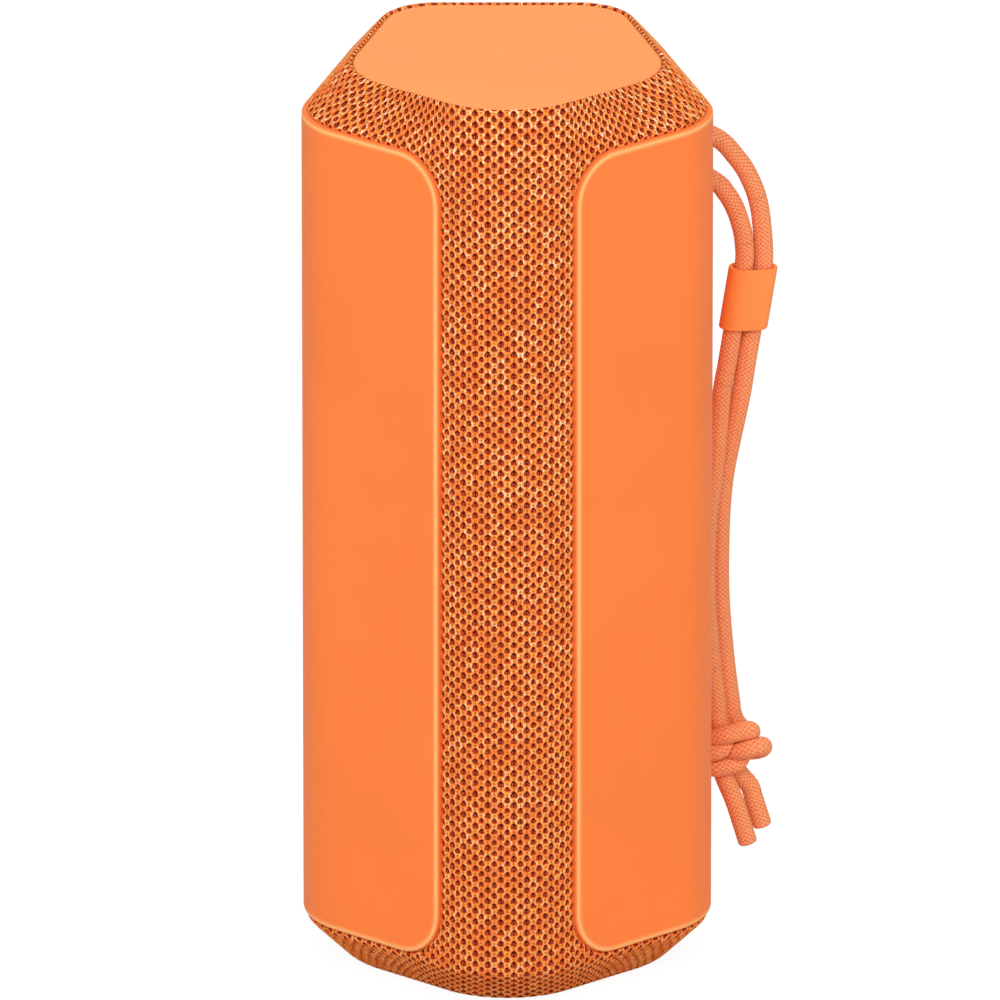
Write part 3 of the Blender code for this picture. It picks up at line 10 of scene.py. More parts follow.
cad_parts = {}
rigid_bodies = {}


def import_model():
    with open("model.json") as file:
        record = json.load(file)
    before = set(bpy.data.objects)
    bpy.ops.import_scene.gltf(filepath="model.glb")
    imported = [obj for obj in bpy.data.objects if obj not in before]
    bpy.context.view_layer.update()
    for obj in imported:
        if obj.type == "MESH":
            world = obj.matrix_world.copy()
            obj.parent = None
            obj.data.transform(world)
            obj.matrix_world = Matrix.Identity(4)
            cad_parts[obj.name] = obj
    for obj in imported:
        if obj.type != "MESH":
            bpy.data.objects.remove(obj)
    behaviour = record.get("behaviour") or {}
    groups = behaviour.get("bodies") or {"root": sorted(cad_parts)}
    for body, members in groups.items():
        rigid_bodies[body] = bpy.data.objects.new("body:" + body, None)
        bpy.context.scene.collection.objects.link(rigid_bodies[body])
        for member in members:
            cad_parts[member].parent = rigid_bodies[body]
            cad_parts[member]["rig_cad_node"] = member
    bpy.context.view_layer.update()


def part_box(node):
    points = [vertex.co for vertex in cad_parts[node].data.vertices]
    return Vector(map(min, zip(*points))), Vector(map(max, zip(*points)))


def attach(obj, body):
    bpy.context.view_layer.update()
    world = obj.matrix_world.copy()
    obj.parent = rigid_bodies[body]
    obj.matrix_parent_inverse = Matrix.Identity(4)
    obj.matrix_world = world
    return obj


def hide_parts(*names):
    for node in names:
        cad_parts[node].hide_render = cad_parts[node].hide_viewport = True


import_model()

# ---- sizes shared with the CAD part

HEIGHT = 0.2040
DEPTH = 0.0930
FRONT_ANGLE = radians(41.0)
SIDE_LEAN = radians(15.0)
SIDE_REACH = 0.0415
FRONT_RADIUS = 0.0200
SIDE_RADIUS = 0.0200
BACK_RADIUS = 0.0120
TOP_CHAMFER = 0.0096
BASE_CHAMFER = 0.0090
FOOT_LIFT = 0.0006
GAP = 0.0003
FABRIC = 0.0010
RIM_DROP = 0.0003
RIM_WIDTH = 0.0009
END_PLATE = 0.0018
PANEL_PROUD = 0.0006
PANEL_FRONT_X = 0.01465
PANEL_BACK_X = 0.0140
PANEL_CORNER = 0.0110
PANEL_BACK_CORNER = 0.0060
PANEL_TOP = 0.1941
PANEL_BASE = 0.01045
REAR_PANEL_WIDTH = 0.0200
REAR_PANEL_LOW = 0.0300
REAR_PANEL_HIGH = 0.1820
REAR_PANEL_CORNER = 0.0080
REAR_PANEL_PROUD = 0.0007
KEY_RADIUS = 0.0045
KEY_PROUD = 0.0005
PORT_WIDTH = 0.0130
PORT_HEIGHT = 0.0150
PORT_CORNER = 0.0030
STRAP_Z = 0.1804
STRAP_BACK = 0.0160
CORD_RADIUS = 0.0020
CORD_SKIN = 0.0021  # to the braid's ridges
BAR_RADIUS = 0.0015
BAR_DEPTH = 0.0030
STRAP_EXIT_DROP = radians(20.0)
SLIDER_WIDTH = 0.0107
SLIDER_THICKNESS = 0.0065
SLIDER_LENGTH = 0.0140
PAIR_GAP = 0.0003

# The strap's routes, as the CAD part has them.
UPPER_ROUTE = ((0.0455, 0.0160, 0.1799), (0.0496, 0.0171, 0.1752), (0.0522, 0.0180, 0.1708),
               (0.0543, 0.0187, 0.1650), (0.0553, 0.0191, 0.1582))
LOWER_ROUTE = ((0.0447, 0.0158, 0.1703), (0.0474, 0.0166, 0.1672), (0.0493, 0.0173, 0.1636),
               (0.0506, 0.0178, 0.1596), (0.0513, 0.0181, 0.1560))
STRETCH_TOP = Vector((0.05355, 0.0189, 0.1505))
STRETCH_END = Vector((0.0486, 0.0176, 0.1195))
NEAR_ROUTE = ((0.0450, 0.0155, 0.1031), (0.0437, 0.0151, 0.0936), (0.04325, 0.0150, 0.0828),
              (0.0434, 0.0150, 0.0740), (0.0440, 0.0151, 0.0650), (0.0449, 0.0152, 0.0560))
FAR_ROUTE = ((0.0476, 0.0194, 0.1031), (0.0466, 0.0188, 0.0936), (0.0463, 0.0185, 0.0828),
             (0.0464, 0.0184, 0.0740), (0.0470, 0.0183, 0.0650), (0.0479, 0.0182, 0.0560))
KNOT_CENTRE = Vector((0.0487, 0.0171, 0.0388))
NEAR_NECK = (0.0457, 0.0155, 0.0490)
FAR_NECK = (0.0488, 0.0184, 0.0490)
TAIL_ENDS = ((0.0514, 0.0150, 0.0172), (0.0546, 0.0194, 0.0196))

BACK_REACH = DEPTH / 2 - REAR_PANEL_PROUD - KEY_PROUD
FRONT_REACH = FRONT_RADIUS + (DEPTH / 2 - FRONT_RADIUS) * cos(FRONT_ANGLE)
REAR_PANEL_Y = BACK_REACH + REAR_PANEL_PROUD
WRAP_RADIUS = BAR_RADIUS + GAP + CORD_RADIUS

# ---- the camera, where the photograph's was

PIXELS_PER_METRE = 4608.0
CAMERA_DISTANCE = 5.681
CAMERA_ELEVATION = radians(19.82)
SENSOR = 36.0
PHOTO_SIDE = 1000.0
OFF_CENTRE = (7.3, -1.6)  # pixels, right and up, of the body's middle from the photograph's


def placed(name, data):
    """A new object for some data, in the scene."""
    obj = bpy.data.objects.new(name, data)
    bpy.context.scene.collection.objects.link(obj)
    return obj


def camera():
    data = bpy.data.cameras.new("camera")
    data.sensor_width = SENSOR
    data.lens = SENSOR * PIXELS_PER_METRE * CAMERA_DISTANCE / PHOTO_SIDE
    data.clip_start = 0.1
    data.clip_end = 50.0
    obj = placed("camera", data)
    back = Vector((0.0, -cos(CAMERA_ELEVATION), sin(CAMERA_ELEVATION)))
    up = Vector((0.0, sin(CAMERA_ELEVATION), cos(CAMERA_ELEVATION)))
    aim = Vector((0.0, 0.0, HEIGHT / 2))
    aim -= Vector((1.0, 0.0, 0.0)) * OFF_CENTRE[0] / PIXELS_PER_METRE + up * OFF_CENTRE[1] / PIXELS_PER_METRE
    obj.location = aim + back * CAMERA_DISTANCE
    obj.rotation_mode = "QUATERNION"
    obj.rotation_quaternion = (-back).to_track_quat("-Z", "Y")
    bpy.context.scene.camera = obj


# ---- the body's plan, as the CAD part has it


def unit(angle):
    return Vector((cos(angle), sin(angle)))


WALLS = (
    (-sin(FRONT_ANGLE), -cos(FRONT_ANGLE), FRONT_REACH),
    (sin(FRONT_ANGLE), -cos(FRONT_ANGLE), FRONT_REACH),
    (cos(SIDE_LEAN), sin(SIDE_LEAN), SIDE_REACH),
    (0.0, 1.0, BACK_REACH),
    (-cos(SIDE_LEAN), sin(SIDE_LEAN), SIDE_REACH),
)
RADII = (FRONT_RADIUS, SIDE_RADIUS, BACK_RADIUS, BACK_RADIUS, SIDE_RADIUS)


def corner(index, inset=0.0):
    """Centre, radius, first angle and turn of the round between a wall and the next, both moved in by inset."""
    ax, ay, first = WALLS[index]
    bx, by, second = WALLS[(index + 1) % len(WALLS)]
    radius = RADII[index]
    first -= inset + radius
    second -= inset + radius
    cross = ax * by - ay * bx
    centre = Vector(((first * by - second * ay) / cross, (second * ax - first * bx) / cross))
    start = atan2(ay, ax)
    turn = (atan2(by, bx) - start) % (2 * pi)
    return centre, radius, start, turn


def plan_pieces():
    """The plan's rounds and flats in order from the middle of the front, anticlockwise.

    Each round is (length, centre, first angle, turn, radius, wall), each flat (length, None, 0, 0, 0, wall).
    """
    pieces = []
    corners = [corner(index) for index in range(5)]
    ends = [(c + r * unit(s), c + r * unit(s + t)) for c, r, s, t in corners]
    for index in (0, 1, 2, 3, 4, 0):
        centre, radius, start, turn = corners[index]
        if index == 0:
            turn /= 2
            if not pieces:
                start += turn
        pieces.append((radius * turn, centre, start, turn, radius, index))
        if len(pieces) < 11:
            after = (index + 1) % 5
            pieces.append(((ends[after][0] - ends[index][1]).length, None, 0.0, 0.0, 0.0, index))
    return pieces


PLAN = plan_pieces()
PLAN_LENGTH = sum(piece[0] for piece in PLAN)
HALF_LENGTH = PLAN_LENGTH / 2


def plan_point(along, inset=0.0, offset=0.0):
    """A point of the plan and its outward normal, a distance along the plan of no inset from the front's middle.

    The walls are moved in by inset, then the whole shrunk evenly by offset.
    """
    along %= PLAN_LENGTH
    for length, centre, start, turn, radius, index in PLAN:
        if along <= length:
            share = along / length
            if centre is not None:
                centre = corner(index, inset)[0]
                angle = start + turn * share
                return centre + (radius - offset) * unit(angle), unit(angle)
            c0, r0, s0, t0 = corner(index, inset)
            c1, r1, s1, _ = corner((index + 1) % 5, inset)
            a = c0 + (r0 - offset) * unit(s0 + t0)
            b = c1 + (r1 - offset) * unit(s1)
            return a.lerp(b, share), unit(s1)
        along -= length
    return plan_point(0.0, inset, offset)


def wall_point(along, offset=0.0):
    return plan_point(along, 0.0, offset)[0]


PANEL_FRONT = FRONT_RADIUS * FRONT_ANGLE
PANEL_FRONT += (PANEL_FRONT_X - FRONT_RADIUS * sin(FRONT_ANGLE)) / cos(FRONT_ANGLE)
PANEL_BACK = HALF_LENGTH - PANEL_BACK_X
SIDE_FLAT_START = sum(piece[0] for piece in PLAN[:3])

# ---- the strap's frame


def axes(origin, right, up):
    right = Vector(right).normalized()
    up = Vector(up).normalized()
    out = right.cross(up)
    matrix = Matrix((right, up, out)).transposed().to_4x4()
    matrix.translation = Vector(origin)
    return matrix


def strap_frame():
    """A frame on the side wall's fabric line at the bar's height: X back along the wall, Y up, Z outwards."""
    place = wall_point(SIDE_FLAT_START + STRAP_BACK)
    back = unit(SIDE_LEAN + pi / 2)
    return axes((place.x, place.y, STRAP_Z), (back.x, back.y, 0.0), (0, 0, 1))


STRAP = strap_frame()
STRETCH = STRETCH_END - STRETCH_TOP
ALONG = STRETCH.normalized()
OUTWARDS = STRAP.to_3x3() @ Vector((0, 0, 1))
ACROSS = (OUTWARDS - ALONG * OUTWARDS.dot(ALONG)).normalized()


def smooth(points, spacing):
    """Points about a spacing apart on a Catmull-Rom curve through the given ones."""
    points = [Vector(point) for point in points]
    padded = [2 * points[0] - points[1]] + points + [2 * points[-1] - points[-2]]
    found = [points[0]]
    for a, b, c, d in zip(padded, padded[1:], padded[2:], padded[3:]):
        steps = max(1, round((c - b).length / spacing))
        for step in range(1, steps + 1):
            t = step / steps
            found.append(0.5 * (2 * b + (c - a) * t + (2 * a - 5 * b + 4 * c - d) * t * t
                                + (3 * b - a - 3 * c + d) * t * t * t))
    return found


def wrap(side):
    """A strand's quarter round the bar, from behind it to where it leaves, above the bar or below it."""
    steps = 12
    points = []
    first = GAP / WRAP_RADIUS
    turn = pi / 2 + side * STRAP_EXIT_DROP
    for step in range(steps + 1):
        angle = pi - first - (turn - first) * step / steps
        height = side * WRAP_RADIUS * sin(angle)
        points.append(STRAP @ Vector((0.0, height, -BAR_DEPTH + WRAP_RADIUS * cos(angle))))
    return points


def stretch_points(side):
    aside = side * (CORD_RADIUS + PAIR_GAP / 2) * ACROSS
    return [STRETCH_TOP + STRETCH * step / 4 + aside for step in range(5)]


# ---- the knot


def resampled(points, step):
    """Points spaced evenly, about a step apart, along the line through the given ones."""
    lengths = np.linalg.norm(np.diff(points, axis=0), axis=1)
    along = np.concatenate([[0.0], np.cumsum(lengths)])
    count = max(2, round(along[-1] / step))
    places = np.linspace(0.0, along[-1], count + 1)
    return np.stack([np.interp(places, along, values) for values in points.T], 1)


def tangents(line):
    tangent = np.gradient(line, axis=0)
    return tangent / np.linalg.norm(tangent, axis=1)[:, None]


def carried(tangent, first):
    """Normals of a line, the first one carried along it without twisting."""
    normal = np.zeros_like(tangent)
    normal[0] = first
    for index in range(1, len(tangent)):
        level = normal[index - 1] - tangent[index] * (normal[index - 1] @ tangent[index])
        normal[index] = level / np.linalg.norm(level)
    return normal


KNOT_TIED = 2.45  # mm between the lines of cords pressed together while the knot is drawn tight
KNOT_PRESSED = 2.6  # and once it hangs
KNOT_LOOSE = 1.115  # size of the loose knot's line to start with, of KNOT_TIED
KNOT_STEP = 1.3  # mm between a line's points
KNOT_ROUNDS = (2600, 350)
KNOT_PASSES = 6  # of lengths and presses in a round
KNOT_SEARCH = 10  # rounds from one search for near points to the next
KNOT_PULL = (0.0125, 0.006)  # of an end in a round, as a share of the spacing
KNOT_DRIFT = (0.02, 0.2)  # of an end to its lead's line in a round
KNOT_STIFFNESS = 0.12
KNOT_EASE = 0.3  # share of a fault that one pass takes away
KNOT_REACH = 9.0  # mm from its middle, along the leads, that is kept of the tied knot
KNOT_TRIM = 3  # points cut from each lead's end
KNOT_TILT = radians(47.0)
KNOT_SHIFT = (0.1, 0.0, 0.8)
KNOT_TOP, KNOT_BOTTOM = 4.0, -6.0  # mm, between which the knot lies, from its middle
NECK_LINE = Vector((-0.11, -0.02, 1.0)).normalized()
TAIL_LINE = Vector((0.30, 0.03, -1.0)).normalized()
NECK_STRAIGHT, TAIL_STRAIGHT = 4.5, 11.0  # mm of each lead that is straight
TAIL_SHIFT = Vector((1.3, 0.0, 0.0))
LEAD = 8.0  # mm of lead pulled past its end
CORD_STEP = 0.00025  # metres between the points of a strand's line


def loose_overhand():
    """A loose overhand knot's line, its ends to the bottom and the top."""
    t = np.linspace(-2.35, 2.35, 300)
    shape = (t**3 - 3 * t, 0.9 * (t**4 - 4 * t**2), 1.1 * (t**5 / 5 - 2 * t))
    line = np.stack(shape, 1) * KNOT_TIED * KNOT_LOOSE
    line -= line.mean(0)
    chord = Vector(line[-1] - line[0])
    line = line @ np.array(chord.rotation_difference(Vector((0, 0, 1))).to_matrix()).T
    lead = 8 * KNOT_TIED
    return np.concatenate([[line[0] - (0, 0, lead)], line, [line[-1] + (0, 0, lead)]])


def even_out(strand):
    """Move a strand's points along it, in place, towards a step from each other."""
    for start in (0, 1):
        b = strand[start + 1::2]
        a = strand[start:-1:2][:len(b)]
        link = b - a
        push = link * (0.5 - 0.5 * KNOT_STEP / np.linalg.norm(link, axis=1)[:, None])
        a += push
        b -= push


def settle(strands, rounds, leads, spacing, pull, drift, straight=None):
    """Strands pushed apart where they press on each other, smoothed and kept at their length, round by round.

    leads holds a point and a direction for each strand's first end and its last. An end is pulled that way and
    drifts to that line. With straight, the last mm of each lead stay on it, and the strands off the side panel.
    """
    counts = [len(strand) for strand in strands]
    starts = np.cumsum([0, *counts])
    points = np.concatenate(strands)
    parts = np.split(points, starts[1:-1])
    number = np.concatenate([np.arange(count) for count in counts])
    strand = np.repeat(np.arange(len(counts)), counts)
    reach = 1.5 * spacing
    far_on = np.abs(number[:, None] - number[None, :]) * KNOT_STEP > reach
    first, second = np.where(np.triu((strand[:, None] != strand[None, :]) | far_on, 1))
    ends = np.stack([starts[:-1], starts[1:] - 1], 1).ravel()
    places, ways = (np.array(values, float) for values in zip(*leads))
    wall = np.array(OUTWARDS)
    wall_reach = (SIDE_REACH + PANEL_PROUD + CORD_SKIN + GAP / 2 - OUTWARDS.dot(KNOT_CENTRE)) * 1000
    for index in range(rounds):
        if index % KNOT_SEARCH == 0:
            gap = points[second] - points[first]
            near = (gap * gap).sum(1) < reach * reach
            one, other = first[near], second[near]
        points[ends] += ways * pull * spacing
        aside = places - points[ends]
        aside -= (aside * ways).sum(1, keepdims=True) * ways
        points[ends] += aside * drift
        for part in parts:
            part[1:-1] += KNOT_STIFFNESS * (part[:-2] + part[2:] - 2 * part[1:-1])
        for _ in range(KNOT_PASSES):
            for part in parts:
                even_out(part)
            gap = points[other] - points[one]
            square = (gap * gap).sum(1)
            press = square < spacing**2
            if press.any():
                length = np.sqrt(square[press])[:, None]
                push = gap[press] / length * (spacing - length) * KNOT_EASE
                np.add.at(points, one[press], -push)
                np.add.at(points, other[press], push)
            if straight:
                for end, (place, way) in enumerate(zip(places, ways)):
                    part = parts[end // 2]
                    away = place - part
                    beyond = -(away @ way)
                    kept = beyond > -straight[end % 2]
                    part[kept] += (away + beyond[:, None] * way)[kept] * KNOT_EASE
                points += np.maximum(wall_reach - points @ wall, 0.0)[:, None] * wall
    return parts


def tied_knot():
    """Both strands' lines through the knot, from neck to tail, in metres: a doubled overhand pulled tight."""
    line = resampled(loose_overhand(), KNOT_STEP)
    aside = carried(tangents(line), (1.0, 0.0, 0.0)) * (0.51 * KNOT_TIED)
    leads = [((side * KNOT_TIED / 2, 0, 0), (0, 0, way)) for side in (1, -1) for way in (-1, 1)]
    tied = settle([line + aside, line - aside], KNOT_ROUNDS[0], leads, KNOT_TIED, KNOT_PULL[0], KNOT_DRIFT[0])
    middle = len(line) // 2
    centre = np.mean([part[middle - 10:middle + 10].mean(0) for part in tied], axis=0)
    tilt = np.array(Matrix.Rotation(KNOT_TILT, 3, "Y")).T
    cores = []
    for part in tied:
        core = part - centre
        core = (core[np.abs(core[:, 2]) < KNOT_REACH][::-1] @ tilt)[KNOT_TRIM:-KNOT_TRIM] + KNOT_SHIFT
        start = int(np.argmin(core[:, 2] > KNOT_TOP))
        stop = len(core) - int(np.argmin(core[::-1, 2] < KNOT_BOTTOM))
        cores.append(core[start:stop])
    cores.sort(key=lambda core: core[0][0])
    bound, leads = [], []
    for core, neck, tail in zip(cores, (NEAR_NECK, FAR_NECK), TAIL_ENDS):
        neck = np.array(Vector(neck) - KNOT_CENTRE) * 1000
        tail = np.array(Vector(tail) - KNOT_CENTRE) * 1000 + TAIL_SHIFT
        up, down = np.array(NECK_LINE), np.array(TAIL_LINE)
        points = [neck + up * LEAD, neck, neck - up * NECK_STRAIGHT, *core, tail - down * TAIL_STRAIGHT, tail,
                  tail + down * LEAD]
        bound.append(resampled(np.array(points), KNOT_STEP))
        leads += [(neck, up), (tail, down)]
    hung = settle(bound, KNOT_ROUNDS[1], leads, KNOT_PRESSED, KNOT_PULL[1], KNOT_DRIFT[1],
                  (NECK_STRAIGHT, TAIL_STRAIGHT))
    lines = []
    for part, (neck, up), (tail, down) in zip(hung, leads[::2], leads[1::2]):
        inner = ((part - neck) @ up < -KNOT_STEP / 2) & ((part - tail) @ down < -KNOT_STEP / 2)
        lines.append(np.array(KNOT_CENTRE) + np.concatenate([[neck], part[inner], [tail]]) / 1000)
    return lines


def strand_lines():
    """The outer strand goes over the bar and down behind, the inner one under it and down nearer the front."""
    near, far = tied_knot()
    lines = []
    for side, leaving, falling, knot in ((1, UPPER_ROUTE, FAR_ROUTE, far), (-1, LOWER_ROUTE, NEAR_ROUTE, near)):
        arc = wrap(side)
        loose = [arc[-1], *leaving, *stretch_points(side), *falling, *knot[::2], knot[-1]]
        line = np.array([point[:] for point in arc[:-1] + smooth(loose, CORD_RADIUS / 4)])
        lines.append(resampled(line, CORD_STEP))
    return lines


# ---- meshes


def piece(name, solid, look, body, *nodes, slot=None, sharp=35.0):
    """A piece from its points and faces, which rides a body and stands for CAD nodes."""
    mesh = bpy.data.meshes.new(name)
    mesh.from_pydata(solid[0], [], solid[1])
    mesh.validate()
    mesh.polygons.foreach_set("use_smooth", [True] * len(mesh.polygons))
    if sharp:
        mesh.set_sharp_from_angle(angle=radians(sharp))
    mesh.materials.append(look.material)
    obj = placed(name, mesh)
    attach(obj, body)
    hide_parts(*nodes)
    return obj


def tint(obj, share):
    """Give each vertex its share, from 0 to 1, of the second colour of the piece's material."""
    layer = obj.data.uv_layers.new(name="UVMap")
    for loop in obj.data.loops:
        layer.data[loop.index].uv = (share(loop.vertex_index), 0.0)


def loft(loops, ring=False):
    """Points and faces of closed loops joined in order, capped at both ends or closed on itself."""
    count = len(loops[0])
    points = [tuple(point) for loop in loops for point in loop]
    faces = []
    rows = len(loops)
    for row in range(rows if ring else rows - 1):
        a, b = row * count, (row + 1) % rows * count
        for i in range(count):
            j = (i + 1) % count
            faces.append((a + i, a + j, b + j, b + i))
    if not ring:
        faces.append(tuple(range(count))[::-1])
        faces.append(tuple(range((rows - 1) * count, rows * count)))
    return points, faces


def quads(row, column, count):
    """Faces of a grid that closes on itself every count columns, one for each row and column given."""
    after = (column + 1) % count
    return np.stack([row * count + column, row * count + after, (row + 1) * count + after,
                     (row + 1) * count + column], -1).reshape(-1, 4)


def grown(first, second):
    """Two (points, faces) in one."""
    shift = len(first[0])
    return first[0] + second[0], first[1] + [tuple(i + shift for i in face) for face in second[1]]


def put(matrix, points, height):
    return [matrix @ Vector((x, y, height)) for x, y in points]


def plug(matrix, shape, low, high):
    return loft([put(matrix, shape, low), put(matrix, shape, high)])


def rounded_box(width, height, radius, steps=8, middle=(0.0, 0.0)):
    points = []
    for number, (sx, sy) in enumerate(((1, -1), (1, 1), (-1, 1), (-1, -1))):
        cx, cy = middle[0] + sx * (width / 2 - radius), middle[1] + sy * (height / 2 - radius)
        for step in range(steps + 1):
            way = (number - 1) * pi / 2 + pi / 2 * step / steps
            points.append((cx + radius * cos(way), cy + radius * sin(way)))
    return points


def circle(radius, steps=32, middle=(0.0, 0.0)):
    return [(middle[0] + radius * cos(2 * pi * i / steps), middle[1] + radius * sin(2 * pi * i / steps))
            for i in range(steps)]


def fillet(radius, steps=4):
    """(drop, edge) pairs of a rounded edge, from the wall to the face."""
    angles = [pi / 2 * i / steps for i in range(steps + 1)]
    return [(radius * (1 - sin(angle)), radius * (1 - cos(angle))) for angle in angles]


def bar_rows(half, rounding, steps):
    """(height, inset) of a bar's loops from end to end, both ends rounded."""
    rows = fillet(rounding, steps)
    return [(drop - half, edge) for drop, edge in rows[::-1]] + [(half - drop, edge) for drop, edge in rows]


CUT_SHARP = 35.0


def cut(obj, *cutters):
    """Cut closed solids, given as (points, faces), out of a piece."""
    for points, faces in cutters:
        mesh = bpy.data.meshes.new("cutter")
        mesh.from_pydata(points, [], faces)
        tool = placed("cutter", mesh)
        modifier = obj.modifiers.new("cut", "BOOLEAN")
        modifier.operation = "DIFFERENCE"
        modifier.solver = "EXACT"
        modifier.object = tool
        bpy.context.view_layer.update()
        graph = bpy.context.evaluated_depsgraph_get()
        after = bpy.data.meshes.new_from_object(obj.evaluated_get(graph))
        obj.modifiers.clear()
        obj.data = after
        bpy.data.objects.remove(tool)
    obj.data.set_sharp_from_angle(angle=radians(CUT_SHARP))


# ---- materials


def node(tree, kind, inputs, **settings):
    """A new shader node, its inputs given by name or number as Values, sockets or plain values."""
    made = tree.nodes.new("ShaderNode" + kind)
    for key, value in settings.items():
        setattr(made, key, value)
    for key, value in inputs.items():
        value = value.socket if isinstance(value, Value) else value
        if isinstance(value, bpy.types.NodeSocket):
            tree.links.new(value, made.inputs[key])
        else:
            made.inputs[key].default_value = value
    return made


class Value:
    """A socket to reckon with: each step is one Math node."""

    def __init__(self, tree, socket):
        self.tree = tree
        self.socket = socket

    def math(self, operation, *others):
        made = node(self.tree, "Math", dict(enumerate((self, *others))), operation=operation)
        return Value(self.tree, made.outputs[0])

    def __add__(self, other):
        return self.math("ADD", other)

    def __sub__(self, other):
        return self.math("SUBTRACT", other)

    def __mul__(self, other):
        return self.math("MULTIPLY", other)

    def __mod__(self, other):
        return self.math("FLOORED_MODULO", other)

    def __abs__(self):
        return self.math("ABSOLUTE")


def ease(value, low, high):
    """0 below low, 1 above high and a smooth step between, of a Value or an array."""
    if isinstance(value, Value):
        made = node(value.tree, "MapRange", {"Value": value, "From Min": low, "From Max": high},
                    interpolation_type="SMOOTHSTEP")
        return Value(value.tree, made.outputs["Result"])
    share = np.clip((value - low) / (high - low), 0.0, 1.0)
    return share * share * (3 - 2 * share)


def larger(a, b):
    return a.math("MAXIMUM", b) if isinstance(a, Value) else np.maximum(a, b)


def rest(value):
    """What is left of 1."""
    return value * -1.0 + 1.0


class Look:
    """A material on one Principled shader, its colour, roughness and relief reckoned by nodes."""

    def __init__(self, name, roughness=0.5, **values):
        self.name = name
        self.material = bpy.data.materials.new(name)
        self.material.use_nodes = True
        self.tree = self.material.node_tree
        self.shader = self.tree.nodes["Principled BSDF"]
        self.shader.inputs["Roughness"].default_value = roughness
        for key, value in values.items():
            self.shader.inputs[key.replace("_", " ")].default_value = value
        self.place = node(self.tree, "TexCoord", {}).outputs["Object"]

    def parts(self, source):
        made = node(self.tree, "SeparateXYZ", {0: source})
        return [Value(self.tree, socket) for socket in made.outputs]

    def uv(self):
        return self.parts(node(self.tree, "UVMap", {}, uv_map="UVMap").outputs[0])[:2]

    def noise(self, size, detail=2.0):
        """Noise of about a grain size in metres, in the object's own frame."""
        made = node(self.tree, "TexNoise", {"Scale": 1.0 / size, "Detail": detail, "Vector": self.place})
        return Value(self.tree, made.outputs["Fac"])

    def colour(self, first, *layers):
        """The base colour: the first, with each (Value, colour) laid over it in turn."""
        below = (*first, 1.0)
        for share, over in layers:
            below = node(self.tree, "Mix", {0: share, 6: below, 7: (*over, 1.0)}, data_type="RGBA").outputs[2]
        self.tree.links.new(below, self.shader.inputs["Base Color"])

    def rough(self, value):
        self.tree.links.new(value.socket, self.shader.inputs["Roughness"])

    def bump(self, height, depth):
        """Relief whose height, from 0 to 1, stands for a depth in metres."""
        made = node(self.tree, "Bump", {"Distance": depth, "Height": height})
        self.tree.links.new(made.outputs[0], self.shader.inputs["Normal"])
        return self


def shade(colour, factor):
    return tuple(min(1.0, channel * factor) for channel in colour)


PATCH = 0.03  # the size of a moulding's faint patches


def moulded(name, colour, roughness, grain=0.00035, depth=0.00001, edge=None, **values):
    """Moulded plastic or rubber: a fine spark-eroded grain and a faint unevenness of tint and gloss.

    With edge, a second colour shows where a mesh's U coordinate is 1: on the side panels it is a painted highlight
    along their rounded border, on the keys it is their paler symbols.
    """
    look = Look(name, roughness, **{"Specular_IOR_Level": 0.10, **values})
    fine = look.noise(grain, 1.0)
    broad = look.noise(PATCH, 3.0)
    edges = [(look.uv()[0], edge)] if edge else []
    look.colour(shade(colour, 0.975), (ease(broad, 0.3, 0.7), shade(colour, 1.02)),
                (ease(fine, 0.62, 0.8) * 0.05, shade(colour, 1.25)), *edges)
    look.rough(broad * 0.08 + fine * 0.06 + (roughness - 0.07))
    return look.bump(fine, depth)


def metal(name, colour, roughness, grain, depth):
    look = Look(name, roughness, Metallic=1.0)
    fine = look.noise(grain, 4.0)
    look.colour(shade(colour, 0.92), (ease(fine, 0.35, 0.65), shade(colour, 1.05)))
    look.rough(fine * 0.2 + (roughness - 0.1))
    return look.bump(fine, depth)


ORANGE = (0.97, 0.220, 0.048)
# Second colour of the panel plastic: a painted highlight on the side panels' rounded borders, and the keys' paler
# symbols.
BORDER_HIGHLIGHT_AND_SYMBOL_ORANGE = (1.0, 0.480, 0.170)
# A lighter copy of the panels' orange for the end plates: painted light from above on the top plate.
TOP_LIT_ORANGE = (1.0, 0.335, 0.100)
SLEEVE_ORANGE = (1.0, 0.285, 0.072)
YARN = (0.98, 0.345, 0.072)
# Painted shade on the yarn round each stitch hole; the same red also lies in random patches.
YARN_SHADE_AND_PATCH_RED = (0.84, 0.138, 0.026)
# Painted highlight on the yarn, where its threads would catch the light.
THREAD_HIGHLIGHT = (1.0, 0.76, 0.42)
SPOT = (0.48, 0.095, 0.012)
# Painted shade in the stitch holes.
STITCH_HOLE_SHADE = (0.145, 0.010, 0.003)
STITCH_PINK = (0.72, 0.125, 0.050)
CORD_PALE = (1.0, 0.365, 0.158)
# Painted shade in the grooves between the braid's threads.
CORD_GROOVE_SHADE = (0.78, 0.120, 0.045)

COLUMNS = 202  # of stitches round the body
ROW = 2.46  # mm from one stitch to the next above it
COLUMN = PLAN_LENGTH * 1000 / COLUMNS
HIGHLIGHT_ROWS = 70.0  # from the base, over which the painted highlight on the yarn comes to show fully, as painted light from above


